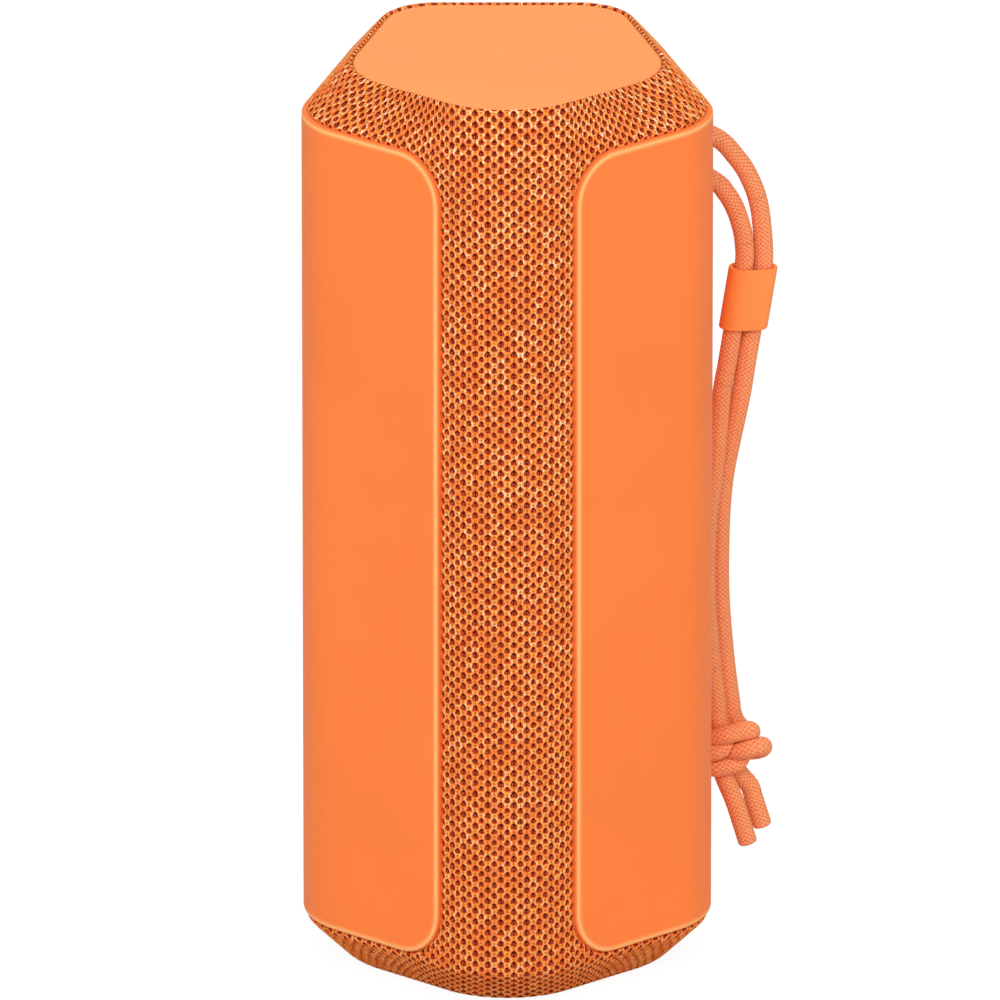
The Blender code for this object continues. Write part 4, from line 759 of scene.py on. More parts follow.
def stitches(u, v):
    """The knit's pattern: how far a point lies in a stitch's hollow, in the loops that cross it, in the spot
    between two stitches, and in the yarn round them.

    Each is from 0 to 1. u counts columns and v rows. Each second column has smaller stitches, half a row off.
    """
    kinds = []
    for shift, size, dark in ((0.0, 1.0, 1.0), (0.5, 0.86, 0.8)):
        across = abs((u * 0.5 + shift) % 1.0 - 0.5) * (2 * COLUMN / size)
        down = ((v + shift) % 1.0 - 0.5) * (-ROW / size)
        slant = larger(across - down * 0.34, across * 0.0)
        square = slant * slant * (1 / 0.56**2) + down * down * (1 / 0.70**2)
        hollow = rest(ease(square, 0.60, 1.30)) * dark
        loop = rest(ease(abs(across - down * 0.16 - 0.25), 0.05, 0.17)) * ease(down, -0.12, 0.15) * hollow
        below = ((v + shift + 0.5) % 1.0 - 0.5) * ROW
        spot = rest(ease(across * across * size**2 + below * below, 0.03, 0.13))
        kinds.append((hollow, loop, spot, square * -1.0))
    hollow, loop, spot, nearest = (larger(one, other) for one, other in zip(*kinds))
    return hollow, loop, spot, ease(nearest, -1.35, -2.15)


def knit_look():
    look = Look("knit_fabric", 0.85, Specular_IOR_Level=0.06)
    u, v = look.uv()
    fibre = look.noise(0.0006, 1.0)
    speck = look.noise(0.0009, 2.0)
    patch = look.noise(0.0032, 2.0)
    hollow, loop, spot, yarn = stitches(u + (fibre - 0.5) * 0.40, v + (speck - 0.5) * 0.30)
    # Painted highlight: cream flecks on the yarn, fading towards the base as painted light from above.
    highlight = yarn * ease(speck, 0.50, 0.62) * (ease(patch, 0.45, 0.60) * -0.75 + 1.0)
    highlight = highlight * (ease(v, 0.0, HIGHLIGHT_ROWS) * 0.5 + 0.5)
    # Layers: painted shade round the stitch holes as the base, the yarn, random red patches, the painted highlight,
    # the spots, painted shade in the holes, and the loops across them.
    look.colour(YARN_SHADE_AND_PATCH_RED, (yarn, YARN), (ease(patch, 0.42, 0.60) * 0.5, YARN_SHADE_AND_PATCH_RED), (highlight * 0.85, THREAD_HIGHLIGHT),
                (spot * 0.85, SPOT), (ease(hollow, 0.08, 0.50), STITCH_HOLE_SHADE), (loop * 0.85, STITCH_PINK))
    return look.bump(yarn * 0.6 + speck * 0.5 - hollow, 0.00015)


BRAID_STEP = 1.02  # mm along the cord from one thread to the next of the same lean
BRAID_THREADS = 11  # round the cord, of each lean


def braid(u, v):
    """The height of a braided surface, 0 to 1. u is mm along the cord, v turns round it."""
    one = u * (1 / BRAID_STEP) + v * BRAID_THREADS
    other = u * (1 / BRAID_STEP) - v * BRAID_THREADS
    ridge_one = abs(one % 1.0 - 0.5)
    ridge_other = abs(other % 1.0 - 0.5)
    turn = ease((one - one % 1.0 + other - other % 1.0) * 0.5 % 1.0, 0.2, 0.3)
    height = ridge_one * ridge_one * turn + ridge_other * ridge_other * rest(turn)
    return height * -4.0 + 1.0


def cord_look():
    look = Look("braided_cord", 0.75, Specular_IOR_Level=0.10)
    u, v = look.uv()
    height = braid(u, v)
    fibre = look.noise(0.0004, 2.0)
    # Painted shade where the braid's surface dips between its threads.
    look.colour(CORD_PALE, (rest(ease(height, 0.25, 0.72)), CORD_GROOVE_SHADE),
                (ease(fibre, 0.35, 0.65) * 0.25, shade(CORD_PALE, 1.2)))
    return look.bump(height + fibre * 0.3, 0.00012)


# Its second colour paints a highlight along the side panels' rounded borders and colours the keys' symbols.
PLASTIC = moulded("panel_plastic", ORANGE, 0.46, edge=BORDER_HIGHLIGHT_AND_SYMBOL_ORANGE)
SLEEVE_PLASTIC = moulded("sleeve_plastic", SLEEVE_ORANGE, 0.46)
# The end plates' plastic; its lighter colour is painted light from above.
LIT_END_PLASTIC = moulded("end_plastic", TOP_LIT_ORANGE, 0.50)
KNIT = knit_look()
BRAID = cord_look()
DARK_PLASTIC = moulded("housing_plastic", (0.028, 0.028, 0.032), 0.55, depth=0.00002)
RUBBER = moulded("black_rubber", (0.015, 0.015, 0.016), 0.72, grain=0.0006, depth=0.00002)
STEEL = metal("steel", (0.60, 0.60, 0.62), 0.32, 0.0008, 0.000004)
MAGNET = metal("magnet", (0.16, 0.16, 0.17), 0.55, 0.0005, 0.00001)
CELL = moulded("cell", (0.05, 0.12, 0.35), 0.35, grain=0.002, depth=0.000005)
LENS = moulded("lens", (0.85, 0.85, 0.80), 0.12, grain=0.0002, depth=0.000002, Transmission_Weight=0.3)


def board_look():
    """Green solder mask with fine copper lines under it."""
    look = Look("board", 0.35, Coat_Weight=0.4)
    x, _, z = look.parts(look.place)
    bend = look.noise(0.012, 0.0)
    lines = abs((x * 500.0 + bend * 6.0) % 1.0 - 0.5)
    lines = lines * ease(abs((z * 170.0 + bend * 4.0) % 1.0 - 0.5), 0.1, 0.3)
    grain = look.noise(0.0005, 2.0)
    look.colour((0.012, 0.11, 0.045), (ease(lines, 0.16, 0.28), (0.03, 0.24, 0.09)),
                (ease(grain, 0.6, 0.75) * 0.2, (0.05, 0.30, 0.12)))
    return look.bump(lines + grain * 0.3, 0.00003)


BOARD = board_look()


# ---- the strap's cords

CORD_VERTS = 48
CORD_RELIEF = 0.00005
CORD_CONTACT = 0.00006  # left between cords that press each other
CORD_END_ROUND = 0.0007
CORD_END_DROP = 0.4  # share of the radius that a tail's end loses
CORD_FACING = 0.05  # how far a point must face another cord to be drawn in by it


def pressed(radii, line, others, directions):
    """Draw radii in where another stretch of cord, or this one further on, presses against it."""
    reach = 2 * CORD_SKIN
    own = np.arange(len(line)) * CORD_STEP
    for other in others:
        there = np.arange(len(other)) * CORD_STEP
        for index, centre in enumerate(line):
            gap = other - centre
            far = np.linalg.norm(gap, axis=1)
            near = far < reach
            if other is line:
                near &= np.abs(there - own[index]) > 1.6 * reach
            if not near.any():
                continue
            way, away = gap[near] / far[near][:, None], far[near]
            facing = directions[index] @ way.T
            limit = (away / 2 - CORD_CONTACT / 2) / np.maximum(facing, CORD_FACING)
            radii[index] = np.minimum(radii[index], np.where(facing > CORD_FACING, limit, reach).min(1))


def cord_mesh(name, line, other, *nodes):
    """A strand's braided surface round its line, flattened where it presses against the other or itself."""
    tangent = tangents(line)
    first = np.cross(tangent[0], (0.0, 0.0, 1.0))
    first = carried(tangent, first / np.linalg.norm(first))
    second = np.cross(tangent, first)
    turns = np.arange(CORD_VERTS) / CORD_VERTS
    right, up = np.cos(2 * pi * turns)[None, :, None], np.sin(2 * pi * turns)[None, :, None]
    directions = first[:, None, :] * right + second[:, None, :] * up
    along = np.arange(len(line)) * CORD_STEP * 1000
    radii = CORD_SKIN + CORD_RELIEF * (braid(along[:, None], turns[None, :]) - 1.0)
    pressed(radii, line, (line, other), directions)
    rows = len(line)
    from_end = (rows - 1 - np.arange(rows)) * CORD_STEP
    rounded = np.clip(1 - from_end / CORD_END_ROUND, 0.0, 1.0)
    radii *= (1 - CORD_END_DROP * (1 - np.sqrt(1 - rounded * rounded)))[:, None]
    points = (line[:, None, :] + directions * radii[:, :, None]).reshape(-1, 3)
    faces = quads(*np.meshgrid(np.arange(rows - 1), np.arange(CORD_VERTS), indexing="ij"), CORD_VERTS).tolist()
    caps = [list(range(CORD_VERTS))[::-1], list(range((rows - 1) * CORD_VERTS, rows * CORD_VERTS))]
    obj = piece(name, (points.tolist(), faces + caps), BRAID, "strap", *nodes, sharp=None)
    loops = np.zeros(len(obj.data.loops), np.int64)
    obj.data.loops.foreach_get("vertex_index", loops)
    uv = np.stack([along[loops // CORD_VERTS], turns[loops % CORD_VERTS]], 1)
    turn = uv[:len(faces) * 4].reshape(-1, 4, 2)[:, :, 1]
    turn += (turn.max(1, keepdims=True) - turn > 0.5) * 1.0  # the faces that close the ring end a whole turn on
    obj.data.uv_layers.new(name="UVMap").data.foreach_set("uv", uv.astype(np.float32).ravel())
    return obj


def cords():
    """The strap's two strands, from the bar to their tails, tied in one knot: piece, line and length of each."""
    outer, inner = strand_lines()
    made = [(cord_mesh("strap_cord_outer", outer, inner, "strap_strand_outer", "strap_knot"), outer),
            (cord_mesh("strap_cord_inner", inner, outer, "strap_strand_inner"), inner)]
    return [(obj, line, float(np.linalg.norm(np.diff(line, axis=0), axis=1).sum())) for obj, line in made]


# ---- the knitted cover

ROW_STEPS = 7
COLUMN_STEPS = 5
STITCH_DEPTH = 0.00040
YARN_RELIEF = 0.00010
SHOULDER_SOFT = 0.0012
SHOULDER_FADE = 0.002  # of height, over which that softening comes in
PROFILE_STEP = 0.0001
RIM_FADE = 0.0008  # from each rim, over which the stitches come to their full depth
RIM_LEAST = 0.15  # share of that depth at the rim itself
COVER_LOW = (0.0078, 0.0003)  # inset and height of the cover's lower edge
COVER_HIGH = (0.0083, HEIGHT)
LID_INSET = 0.0093
LID_GAP = 0.0001
SEAM_WIDTH = 0.0008  # beside the panels, where the cover turns in under them
SEAM_DEPTH = 0.0008
ROW_SWAY = 0.36  # rows that the pattern drops by at the sides of the front
SWAY_REACH = 0.0145
COVER_TUCK = 0.0005  # how far the shown fabric reaches under the panels


def cover_profile():
    """The cover's section from the lower rim over both shoulders: (inset, height), and the same of its normal."""
    points = []
    for chamfer, (inner, end), rim, way in ((BASE_CHAMFER, COVER_LOW, BASE_CHAMFER + RIM_WIDTH, 1),
                                            (TOP_CHAMFER, COVER_HIGH, LID_INSET - LID_GAP, -1)):
        half = [(rim, RIM_DROP + END_PLATE), (rim, RIM_DROP), (inner + RIM_DROP, 0.0),
                (inner - 2 * RIM_DROP, 2 * RIM_DROP * chamfer / inner), (0.0, chamfer)]
        points.append([(inset, end + way * depth) for inset, depth in half])
    dense = resampled(np.array(points[0] + points[1][::-1]), PROFILE_STEP)
    reach = int(3 * SHOULDER_SOFT / PROFILE_STEP)
    weights = np.exp(-0.5 * (np.arange(-reach, reach + 1) * PROFILE_STEP / (SHOULDER_SOFT * 0.6)) ** 2)
    weights /= weights.sum()
    softened = np.stack([np.convolve(np.pad(values, reach, "edge"), weights, "valid") for values in dense.T], 1)
    low, high = FOOT_LIFT + BASE_CHAMFER / 2, HEIGHT - TOP_CHAMFER / 2
    share = np.minimum(dense[:, 1] - low, high - dense[:, 1]) / SHOULDER_FADE
    share = np.clip(share, 0.0, 1.0)[:, None]
    even = resampled(dense * (1 - share) + softened * share, ROW / ROW_STEPS / 1000)
    return even, tangents(even)[:, ::-1]


def inside(x, z, left, right, low, high, radius):
    """How far points lie inside a rounded rectangle, below 0 outside."""
    across = np.abs(x - (left + right) / 2) - (right - left) / 2 + radius
    up = np.abs(z - (low + high) / 2) - (high - low) / 2 + radius
    outer = np.hypot(np.maximum(across, 0.0), np.maximum(up, 0.0))
    return radius - outer - np.minimum(np.maximum(across, up), 0.0)


def under_panels(along, z):
    """How far points of the wall lie inside the side panels' or the rear panel's border, below 0 outside."""
    side = np.minimum(along, PLAN_LENGTH - along)
    radius = np.where(side < (PANEL_FRONT + PANEL_BACK) / 2, PANEL_CORNER, PANEL_BACK_CORNER)
    deep = inside(side, z, PANEL_FRONT, PANEL_BACK, PANEL_BASE, PANEL_TOP, radius)
    half = REAR_PANEL_WIDTH / 2
    rear = inside(along - HALF_LENGTH, z, -half, half, REAR_PANEL_LOW, REAR_PANEL_HIGH, REAR_PANEL_CORNER)
    return np.maximum(deep, rear)


def fabric_cover():
    """The knitted cover as one fine grid, with a hollow for each stitch, left out where the panels hide it."""
    profile, slope = cover_profile()
    inset, height = profile.T
    columns = COLUMNS * COLUMN_STEPS
    along = np.arange(columns) * PLAN_LENGTH / columns
    probe = 0.001
    start, moved = (np.array([plan_point(s, depth)[0][:] for s in along]) for depth in (0.0, probe))
    normal = np.array([plan_point(s)[1][:] for s in along])
    plan = start[None] + ((moved - start) / probe)[None] * inset[:, None, None]
    upright = (*plan.shape[:2], 1)
    points = np.concatenate([plan, np.broadcast_to(height[:, None, None], upright)], 2)
    out = np.concatenate([normal[None] * slope[:, 0][:, None, None],
                          np.broadcast_to(slope[:, 1][:, None, None], upright)], 2)
    side = np.minimum(along, PLAN_LENGTH - along)
    sway = ROW_SWAY * np.minimum(side / SWAY_REACH, 1.0) ** 2
    u, v = np.arange(columns) / COLUMN_STEPS, np.arange(len(profile)) / ROW_STEPS
    hollow, _, _, yarn = stitches(u[None, :], v[:, None] + sway[None, :])
    depth = STITCH_DEPTH * hollow + YARN_RELIEF * (1 - yarn)
    depth += SEAM_DEPTH * ease(under_panels(along[None, :], height[:, None]), -SEAM_WIDTH, 0.0)
    rims = np.minimum(height - COVER_LOW[1], HEIGHT - height)
    depth *= np.clip(rims / RIM_FADE, RIM_LEAST, 1.0)[:, None]
    points = (points - out * depth[:, :, None]).reshape(-1, 3)
    row, column = np.meshgrid(np.arange(len(profile) - 1), np.arange(columns), indexing="ij")
    shown = under_panels(along[column], height[row]) < COVER_TUCK
    row, column = row[shown], column[shown]
    used, faces = np.unique(quads(row, column, columns), return_inverse=True)
    obj = piece("fabric_knit", (points[used].tolist(), faces.reshape(-1, 4).tolist()), KNIT, "speaker",
                "fabric_cover", sharp=None)
    uv = np.zeros((len(row), 4, 2), np.float32)
    for place, (right, up) in enumerate(((0, 0), (1, 0), (1, 1), (0, 1))):
        uv[:, place, 0] = (column + right) / COLUMN_STEPS
        uv[:, place, 1] = (row + up) / ROW_STEPS + sway[(column + right) % columns]
    obj.data.uv_layers.new(name="UVMap").data.foreach_set("uv", uv.ravel())


# ---- panels and plates

PANEL_BAND = 0.0010  # the soft edge that rounds into the panel's face
BAND_DEPTH = 0.55  # of its width
EDGE_FLAT = 0.0006  # of a face inside its soft edge, which keeps the shading flat
BORDER_HIGHLIGHT_SHARE = (0.0, 0.0, 0.0, 0.0, 0.5, 1.0, 1.0, 0.5, 0.0)  # share of the painted highlight in each of a panel's loops, from its back to its face, lightening its rounded border
ARC_STEPS = 18
PANEL_STEPS = 96


def panel_columns(edge):
    """(distance along the wall, low, high) of a panel whose border is drawn in by edge."""
    low, high = PANEL_BASE + edge, PANEL_TOP - edge
    sides = [[(end + way * aside, low + drop, high - drop) for drop, aside in fillet(radius, ARC_STEPS)]
             for radius, end, way in ((PANEL_CORNER - edge, PANEL_FRONT + edge, 1),
                                      (PANEL_BACK_CORNER - edge, PANEL_BACK - edge, -1))]
    first, last = PANEL_FRONT + PANEL_CORNER, PANEL_BACK - PANEL_BACK_CORNER
    middle = [(first + (last - first) * step / PANEL_STEPS, low, high) for step in range(1, PANEL_STEPS)]
    return sides[0] + middle + sides[1][::-1]


def side_panel(name, node, sign):
    layers = [(FABRIC, 0.0)]
    layers += [(BAND_DEPTH * drop - PANEL_PROUD, edge) for drop, edge in fillet(PANEL_BAND, 6)]
    layers += [(-PANEL_PROUD, PANEL_BAND + EDGE_FLAT)]
    loops = []
    for offset, edge in layers:
        columns = [(wall_point(along, offset), low, high) for along, low, high in panel_columns(edge)]
        loops.append([(sign * place.x, place.y, low) for place, low, _ in columns]
                     + [(sign * place.x, place.y, high) for place, _, high in columns[::-1]])
    points, faces = loft(loops)
    faces = faces[:-2]
    count = len(loops[0])
    for start in (0, (len(loops) - 1) * count):
        last = start + count - 1
        faces += [(start + i, start + i + 1, last - 1 - i, last - i) for i in range(count // 2 - 1)]
    if sign < 0:
        faces = [face[::-1] for face in faces]
    obj = piece(name, (points, faces), PLASTIC, "speaker", node)
    # Paint a highlight on the panel's rounded border, as if its soft edge caught the light.
    tint(obj, lambda vertex: BORDER_HIGHLIGHT_SHARE[vertex // count])
    return obj


CUP_WALL = 0.0012
CUP_ABOVE = 0.0083
CUP_BELOW = 0.0138
CUP_HALF = CORD_RADIUS + 0.0020
CUP_FLOOR = -BAR_DEPTH - WRAP_RADIUS - CORD_RADIUS - 0.0006
CUP_CORNER = ((0.0, 0.0008), (-0.0003, 0.0002), (-0.0008, 0.0), (-0.0012, 0.0))  # its walls into its floor
CUP_LIP = 0.0006
CUP_LIP_RADIUS = CUP_WALL + 0.0004
CUP_MOUTH = PANEL_PROUD - 0.0002
CUP_BREAK = 0.00015  # the small chamfer on the cup's outer edge
BAR_SEAT = 0.0008
BAR_ROUND = 0.0003


def cup_shape(grow, radius=CUP_WALL):
    size = (2 * (CUP_HALF + grow), CUP_ABOVE + CUP_BELOW + 2 * grow)
    return rounded_box(*size, radius, middle=(0.0, (CUP_ABOVE - CUP_BELOW) / 2))


def side_panels():
    side_panel("panel_shell_left", "side_panel_left", -1)
    right = side_panel("panel_shell_right", "side_panel_right", 1)
    cut(right, plug(STRAP, cup_shape(CUP_WALL + GAP, CUP_WALL + GAP), -4 * FABRIC, 4 * FABRIC))


def strap_anchor():
    """The pocket in the right panel and the bar across it."""
    rows = [(CUP_WALL, CUP_FLOOR - CUP_WALL), (CUP_WALL, CUP_MOUTH - CUP_BREAK), (CUP_WALL - CUP_BREAK, CUP_MOUTH)]
    loops = [put(STRAP, cup_shape(grow), height) for grow, height in rows]
    loops += [put(STRAP, cup_shape(CUP_LIP - edge, CUP_LIP_RADIUS), CUP_MOUTH - drop)
              for drop, edge in fillet(CUP_LIP, 5)[::-1]]
    loops += [put(STRAP, cup_shape(grow), CUP_FLOOR + height) for grow, height in CUP_CORNER]
    piece("strap_pocket", loft(loops), PLASTIC, "speaker", "strap_cup")
    turn = STRAP.to_3x3()
    bar = axes(STRAP @ Vector((0.0, 0.0, -BAR_DEPTH)), turn @ Vector((0, 1, 0)), turn @ Vector((0, 0, 1)))
    loops = [put(bar, circle(BAR_RADIUS - edge, 40), height)
             for height, edge in bar_rows(CUP_HALF + BAR_SEAT, BAR_ROUND, 3)]
    piece("strap_pin", loft(loops), STEEL, "speaker", "strap_bar")


PLAN_STEPS = 360
PLATE_ROUND = 0.0005
PLATE_FLAT = 0.0004  # of a plate's face inside its rounded edge
FOOT_BEAD = ((0.0030, 0.0), (0.0031, 0.0001), (0.0033, 0.0005), (0.0041, 0.0005), (0.0043, 0.0001), (0.0044, 0.0),
             (0.0050, 0.0))  # inset and depth of the groove round the foot's tread


def end_plates():
    """The top plate, and the foot with a groove round its tread."""
    for name, node, inset, end, way, face, more in (
            ("top_lid", "top_plate", LID_INSET, HEIGHT, -1, RIM_DROP, ()),
            ("foot_pad", "bottom_foot", BASE_CHAMFER + RIM_WIDTH + GAP, FOOT_LIFT, 1, -FOOT_LIFT, FOOT_BEAD)):
        rows = [(0.0, RIM_DROP + END_PLATE - face)]
        rows += [(edge, drop) for drop, edge in fillet(PLATE_ROUND, 6)]
        rows += [(PLATE_ROUND + PLATE_FLAT, 0.0), *more]
        loops = [[(*plan_point(PLAN_LENGTH * step / PLAN_STEPS, inset + edge)[0], end + way * (face + depth))
                  for step in range(PLAN_STEPS)] for edge, depth in rows]
        points, faces = loft(loops)
        if way > 0:
            faces = [turn[::-1] for turn in faces]
        piece(name, (points, faces), LIT_END_PLASTIC, "speaker", node, sharp=40.0)


# ---- the rear panel, its keys and the port

KEY_HEIGHTS = [0.170 - 0.016 * index for index in range(7)]
KEY_BACK_Y = 0.0427
KEY_FACE_Y = REAR_PANEL_Y + KEY_PROUD
PORT_MIDDLE = 0.0455
PORT_COVER = 0.0015
PORT_ROUND = 0.0003
LENS_Z = 0.0655
LENS_RADIUS = 0.0010
LENS_CROWN = 0.0003
REAR_ROUND = 0.0005  # of the rear panel's edge and the keys'
REAR_FLAT = 0.0004  # of the rear panel's face inside that edge
KEY_FLAT = 0.0002  # and of a key's
SUNK = 0.0002  # how deep a raised form starts below its face
ICON_PROUD = 0.00014
ICON_LINE = 0.42  # mm


def rear_frame(z, y=0.0):
    return axes((0.0, y, z), (-1, 0, 0), (0, 0, 1))


def rear_panel():
    place = rear_frame((REAR_PANEL_LOW + REAR_PANEL_HIGH) / 2, BACK_REACH)
    height = REAR_PANEL_HIGH - REAR_PANEL_LOW
    rows = [(-FABRIC, 0.0)] + [(REAR_PANEL_PROUD - drop, edge) for drop, edge in fillet(REAR_ROUND, 5)]
    rows += [(REAR_PANEL_PROUD, REAR_ROUND + REAR_FLAT)]
    loops = []
    for out, edge in rows:
        shape = rounded_box(REAR_PANEL_WIDTH - 2 * edge, height - 2 * edge, REAR_PANEL_CORNER - edge, 16)
        loops.append(put(place, shape, out))
    obj = piece("rear_fascia", loft(loops), PLASTIC, "speaker", "rear_panel", sharp=None)
    holes = [(z, circle(KEY_RADIUS + GAP, 64)) for z in KEY_HEIGHTS]
    holes += [(LENS_Z, circle(LENS_RADIUS + GAP)),
              (PORT_MIDDLE, rounded_box(PORT_WIDTH + 2 * GAP, PORT_HEIGHT + 2 * GAP, PORT_CORNER + GAP, 10))]
    near, far = BACK_REACH - 4 * FABRIC, REAR_PANEL_Y + 4 * FABRIC
    cut(obj, *(plug(rear_frame(z), shape, near, far) for z, shape in holes))


def stroke(line):
    """The outline of a line along an open path of (x, y), with square ends."""
    line = [Vector(point) for point in line]
    left, right = [], []
    for index, point in enumerate(line):
        before, after = line[max(index - 1, 0)], line[min(index + 1, len(line) - 1)]
        way = (after - before).normalized()
        side = Vector((-way.y, way.x)) * ICON_LINE / 2
        left.append(point + side)
        right.append(point - side)
    return right + left[::-1]


def bow(radius, start, end, x=0.0, steps=24):
    angles = [radians(start + (end - start) * i / steps) for i in range(steps + 1)]
    return [(x + radius * cos(angle), radius * sin(angle)) for angle in angles]


def icons():
    """Plain symbols for the keys, each a list of paths to stroke and a list of outlines, in mm from its middle."""
    bar, post = [(-1.25, 0.0), (1.25, 0.0)], [(0.0, -1.25), (0.0, 1.25)]
    box = [(-1.3, -0.75), (1.1, -0.75), (1.1, 0.75), (-1.3, 0.75), (-1.3, -0.75)]
    waves = [bow(radius, -50, 50, -1.2) for radius in (1.1, 1.9, 2.7)]
    return {
        "key_power": ([bow(1.25, 130, 410), [(0.0, 0.25), (0.0, 1.6)]], []),
        "key_pairing": ([bow(0.45, -180, 175, -1.2), *waves], []),
        "key_link": ([bow(0.95, -215, 135, -0.65), bow(0.95, -35, 315, 0.65)], []),
        "key_volume_up": ([bar, post], []),
        "key_play": ([], [[(-0.75, -1.1), (1.15, 0.0), (-0.75, 1.1)]]),
        "key_volume_down": ([bar], []),
        "key_battery": ([*zip(box, box[1:]), [(1.45, -0.3), (1.45, 0.3)]], []),
    }


def key_caps():
    """Seven round keys, each with a raised plain symbol."""
    face = KEY_FACE_Y - ICON_PROUD
    for (name, (paths, outlines)), z in zip(icons().items(), KEY_HEIGHTS):
        place = rear_frame(z)
        rows = [(0.0, KEY_BACK_Y)] + [(edge, face - drop) for drop, edge in fillet(REAR_ROUND, 5)]
        rows += [(REAR_ROUND + KEY_FLAT, face)]
        solid = loft([put(place, circle(KEY_RADIUS - edge, 64), y) for edge, y in rows])
        plain = len(solid[0])
        for shape in [stroke(path) for path in paths] + outlines:
            solid = grown(solid, plug(place, [(x / 1000, y / 1000) for x, y in shape], face - SUNK, KEY_FACE_Y))
        obj = piece("cap_" + name, solid, PLASTIC, name, name)
        tint(obj, lambda vertex: float(vertex >= plain))


def port_flap():
    """The port's cover, with a small rib to lift it by."""
    place = rear_frame(PORT_MIDDLE)
    inner = REAR_PANEL_Y - PORT_COVER
    rows = [(inner, PORT_ROUND), (inner + PORT_ROUND, 0.0)]
    rows += [(REAR_PANEL_Y - drop, edge) for drop, edge in fillet(PORT_ROUND, 4)]
    rows += [(REAR_PANEL_Y, 2 * PORT_ROUND)]
    solid = loft([put(place, rounded_box(PORT_WIDTH - 2 * edge, PORT_HEIGHT - 2 * edge, PORT_CORNER - edge, 10), y)
                  for y, edge in rows])
    rib = [put(place, rounded_box(width, height, radius, 8, (0.0, 0.0052)), REAR_PANEL_Y + out)
           for width, height, radius, out in ((0.0060, 0.0011, 0.0005, -SUNK), (0.0060, 0.0011, 0.0005, 0.0002),
                                              (0.0056, 0.0007, 0.0003, 0.0004))]
    piece("port_flap", grown(solid, loft(rib)), PLASTIC, "port_cover", "port_cover", sharp=40.0)


def status_window():
    place = rear_frame(LENS_Z)
    base = REAR_PANEL_Y - LENS_CROWN
    rows = [(LENS_RADIUS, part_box("status_lens")[0].y), (LENS_RADIUS, base)]
    angles = [pi / 2 * step / 6 for step in range(1, 6)]
    rows += [(LENS_RADIUS * cos(angle), base + LENS_CROWN * sin(angle)) for angle in angles]
    loops = [put(place, circle(radius, 40), y) for radius, y in rows]
    piece("status_window", loft(loops), LENS, "speaker", "status_lens", sharp=50.0)


SLEEVE_ROUND = 0.0004
SLEEVE_LEVEL = 0.11  # slope of its ends across it, which stands them nearly level while it leans
SLEEVE_FUNNEL = 0.0002  # how much wider its bore is at the ends
SLEEVE_LIP = 0.00005  # from each end to that width
SLEEVE_THROAT = 0.0004  # and to the bore's own


def slider_sleeve():
    """The oval sleeve round both strands, softened at its ends."""
    place = axes(STRETCH_TOP + ALONG * (SLIDER_LENGTH / 2 + GAP), ACROSS, ALONG.cross(ACROSS))
    half = SLIDER_LENGTH / 2
    bore = (4 * CORD_RADIUS + PAIR_GAP + 2 * GAP, 2 * CORD_RADIUS + 2 * GAP)

    def oval(edge, height, wide=SLIDER_WIDTH, thick=SLIDER_THICKNESS):
        wide, thick = wide - 2 * edge, thick - 2 * edge
        shape = rounded_box(wide, thick, thick / 2 * 0.98, 20)
        return [place @ Vector((x, y, height + SLEEVE_LEVEL * (SLIDER_WIDTH / 2 - x))) for x, y in shape]

    loops = [oval(edge * 0.7, height) for height, edge in bar_rows(half, SLEEVE_ROUND, 6)]
    mouth, throat = half - SLEEVE_LIP, half - SLEEVE_THROAT
    loops += [oval(edge, height, *bore)
              for edge, height in ((-SLEEVE_FUNNEL, mouth), (0.0, throat), (0.0, -throat), (-SLEEVE_FUNNEL, -mouth))]
    return piece("strap_sleeve", loft(loops, ring=True), SLEEVE_PLASTIC, "strap_slider", "strap_slider",
                 slot="panel_plastic", sharp=50.0)


# ---- what stays as the CAD part has it


def dress_nodes():
    """Materials for the solids that keep their own meshes, chosen by the name of the one they have."""
    looks = {"panel": PLASTIC, "end": LIT_END_PLASTIC, "knit": KNIT, "braid": BRAID, "housing": DARK_PLASTIC,
             "rubber": RUBBER, "steel": STEEL, "magnet": MAGNET, "board": BOARD, "cell": CELL, "lens": LENS}
    for obj in bpy.context.scene.objects:
        if "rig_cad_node" in obj:
            for slot in obj.material_slots:
                named = slot.material.name.lower()
                slot.material = next(look for key, look in looks.items() if key in named).material


# ---- floor and light

WORLD_DIFFUSE = 0.38
KEY_POWER = 32.5
FILL_POWER = 4.2
BACK_POWER = 19.0
LIT = (0.0, 0.0, 0.1)  # what every light is aimed at
FLOOR_SIDE = 4.0
FLOOR_GLOW = 1.10  # what the camera sees of the floor is mostly this, so that it goes white
FLOOR_GLOW_SHARE = 0.85


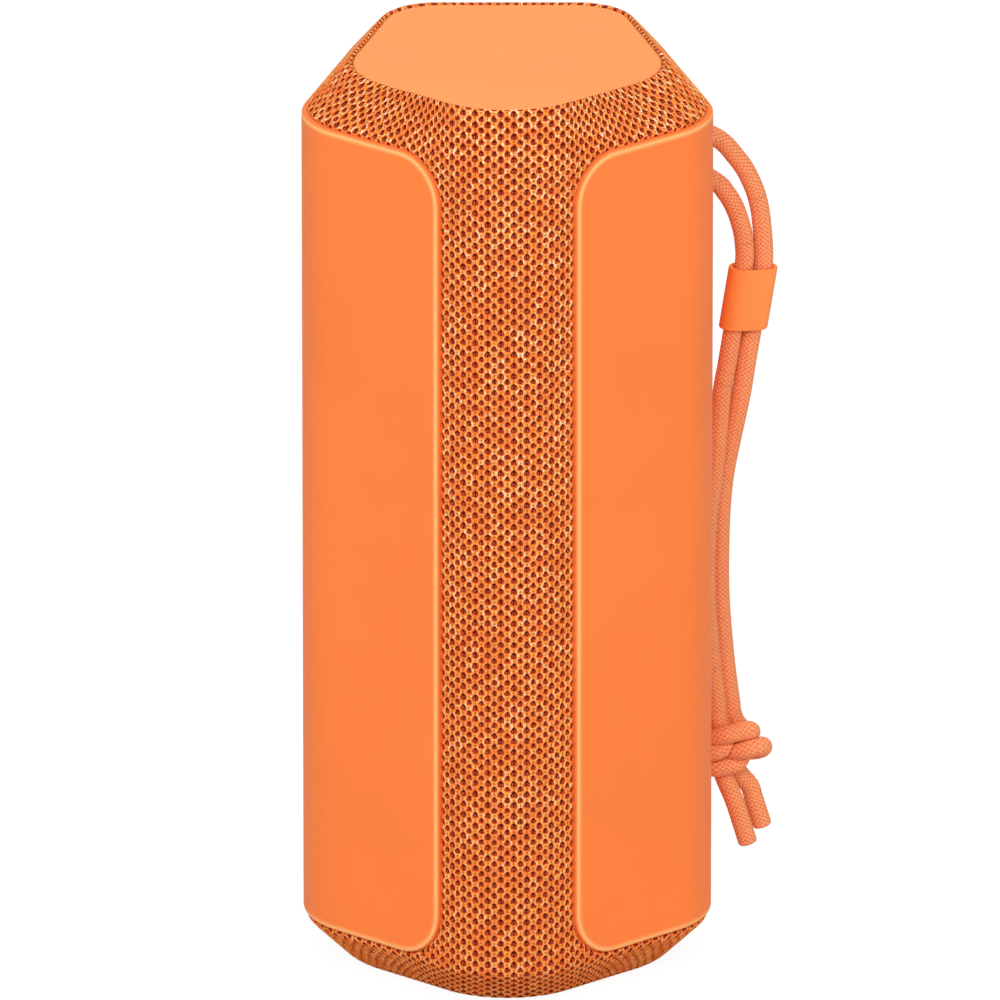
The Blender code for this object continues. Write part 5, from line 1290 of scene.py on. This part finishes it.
def floor_material():
    look = Look("floor_paint", 0.6)
    look.colour((0.72, 0.72, 0.72), (look.noise(0.02, 2.0) * 0.3, (0.75, 0.75, 0.75)))
    glow = node(look.tree, "Emission", {"Color": (1.0, 1.0, 1.0, 1.0), "Strength": FLOOR_GLOW}).outputs[0]
    share = Value(look.tree, node(look.tree, "LightPath", {}).outputs["Is Camera Ray"]) * FLOOR_GLOW_SHARE
    mix = node(look.tree, "MixShader", {0: share, 1: look.shader.outputs[0], 2: glow})
    output = next(made for made in look.tree.nodes if made.type == "OUTPUT_MATERIAL")
    look.tree.links.new(mix.outputs[0], output.inputs["Surface"])
    return look.material


def floor():
    mesh = bpy.data.meshes.new("floor")
    mesh.from_pydata([(x * FLOOR_SIDE, y * FLOOR_SIDE, 0.0) for x, y in ((-1, -1), (1, -1), (1, 1), (-1, 1))], [],
                     [(0, 1, 2, 3)])
    mesh.materials.append(floor_material())
    placed("floor", mesh)


def area_light(name, place, size, power):
    data = bpy.data.lights.new(name, "AREA")
    data.shape = "RECTANGLE"
    data.size, data.size_y = size
    data.energy = power
    obj = placed(name, data)
    obj.location = place
    obj.rotation_mode = "QUATERNION"
    obj.rotation_quaternion = (Vector(LIT) - Vector(place)).to_track_quat("-Z", "Y")


def light():
    """A white world, dim for all but the camera and clear parts, and four area lights."""
    world = bpy.data.worlds.new("studio")
    bpy.context.scene.world = world
    world.use_nodes = True
    tree = world.node_tree
    background = tree.nodes["Background"]
    background.inputs["Color"].default_value = (1.0, 1.0, 1.0, 1.0)
    rays = node(tree, "LightPath", {}).outputs
    seen = larger(Value(tree, rays["Is Camera Ray"]), Value(tree, rays["Is Transmission Ray"]))
    strength = seen * (1.0 - WORLD_DIFFUSE) + WORLD_DIFFUSE
    tree.links.new(strength.socket, background.inputs["Strength"])
    area_light("key", (0.0, -1.6, 1.5), (1.6, 1.0), KEY_POWER)
    for name, side in (("left", -1), ("right", 1)):
        area_light("fill_" + name, (1.7 * side, -0.5, 0.6), (1.0, 1.0), FILL_POWER)
    area_light("back", (0.0, 1.5, 2.1), (1.4, 1.0), BACK_POWER)


# ---- the scene

camera()
strands = cords()
fabric_cover()
side_panels()
strap_anchor()
end_plates()
rear_panel()
key_caps()
port_flap()
status_window()
sleeve = slider_sleeve()
dress_nodes()
floor()
light()
bpy.context.scene.view_settings.view_transform = "Standard"
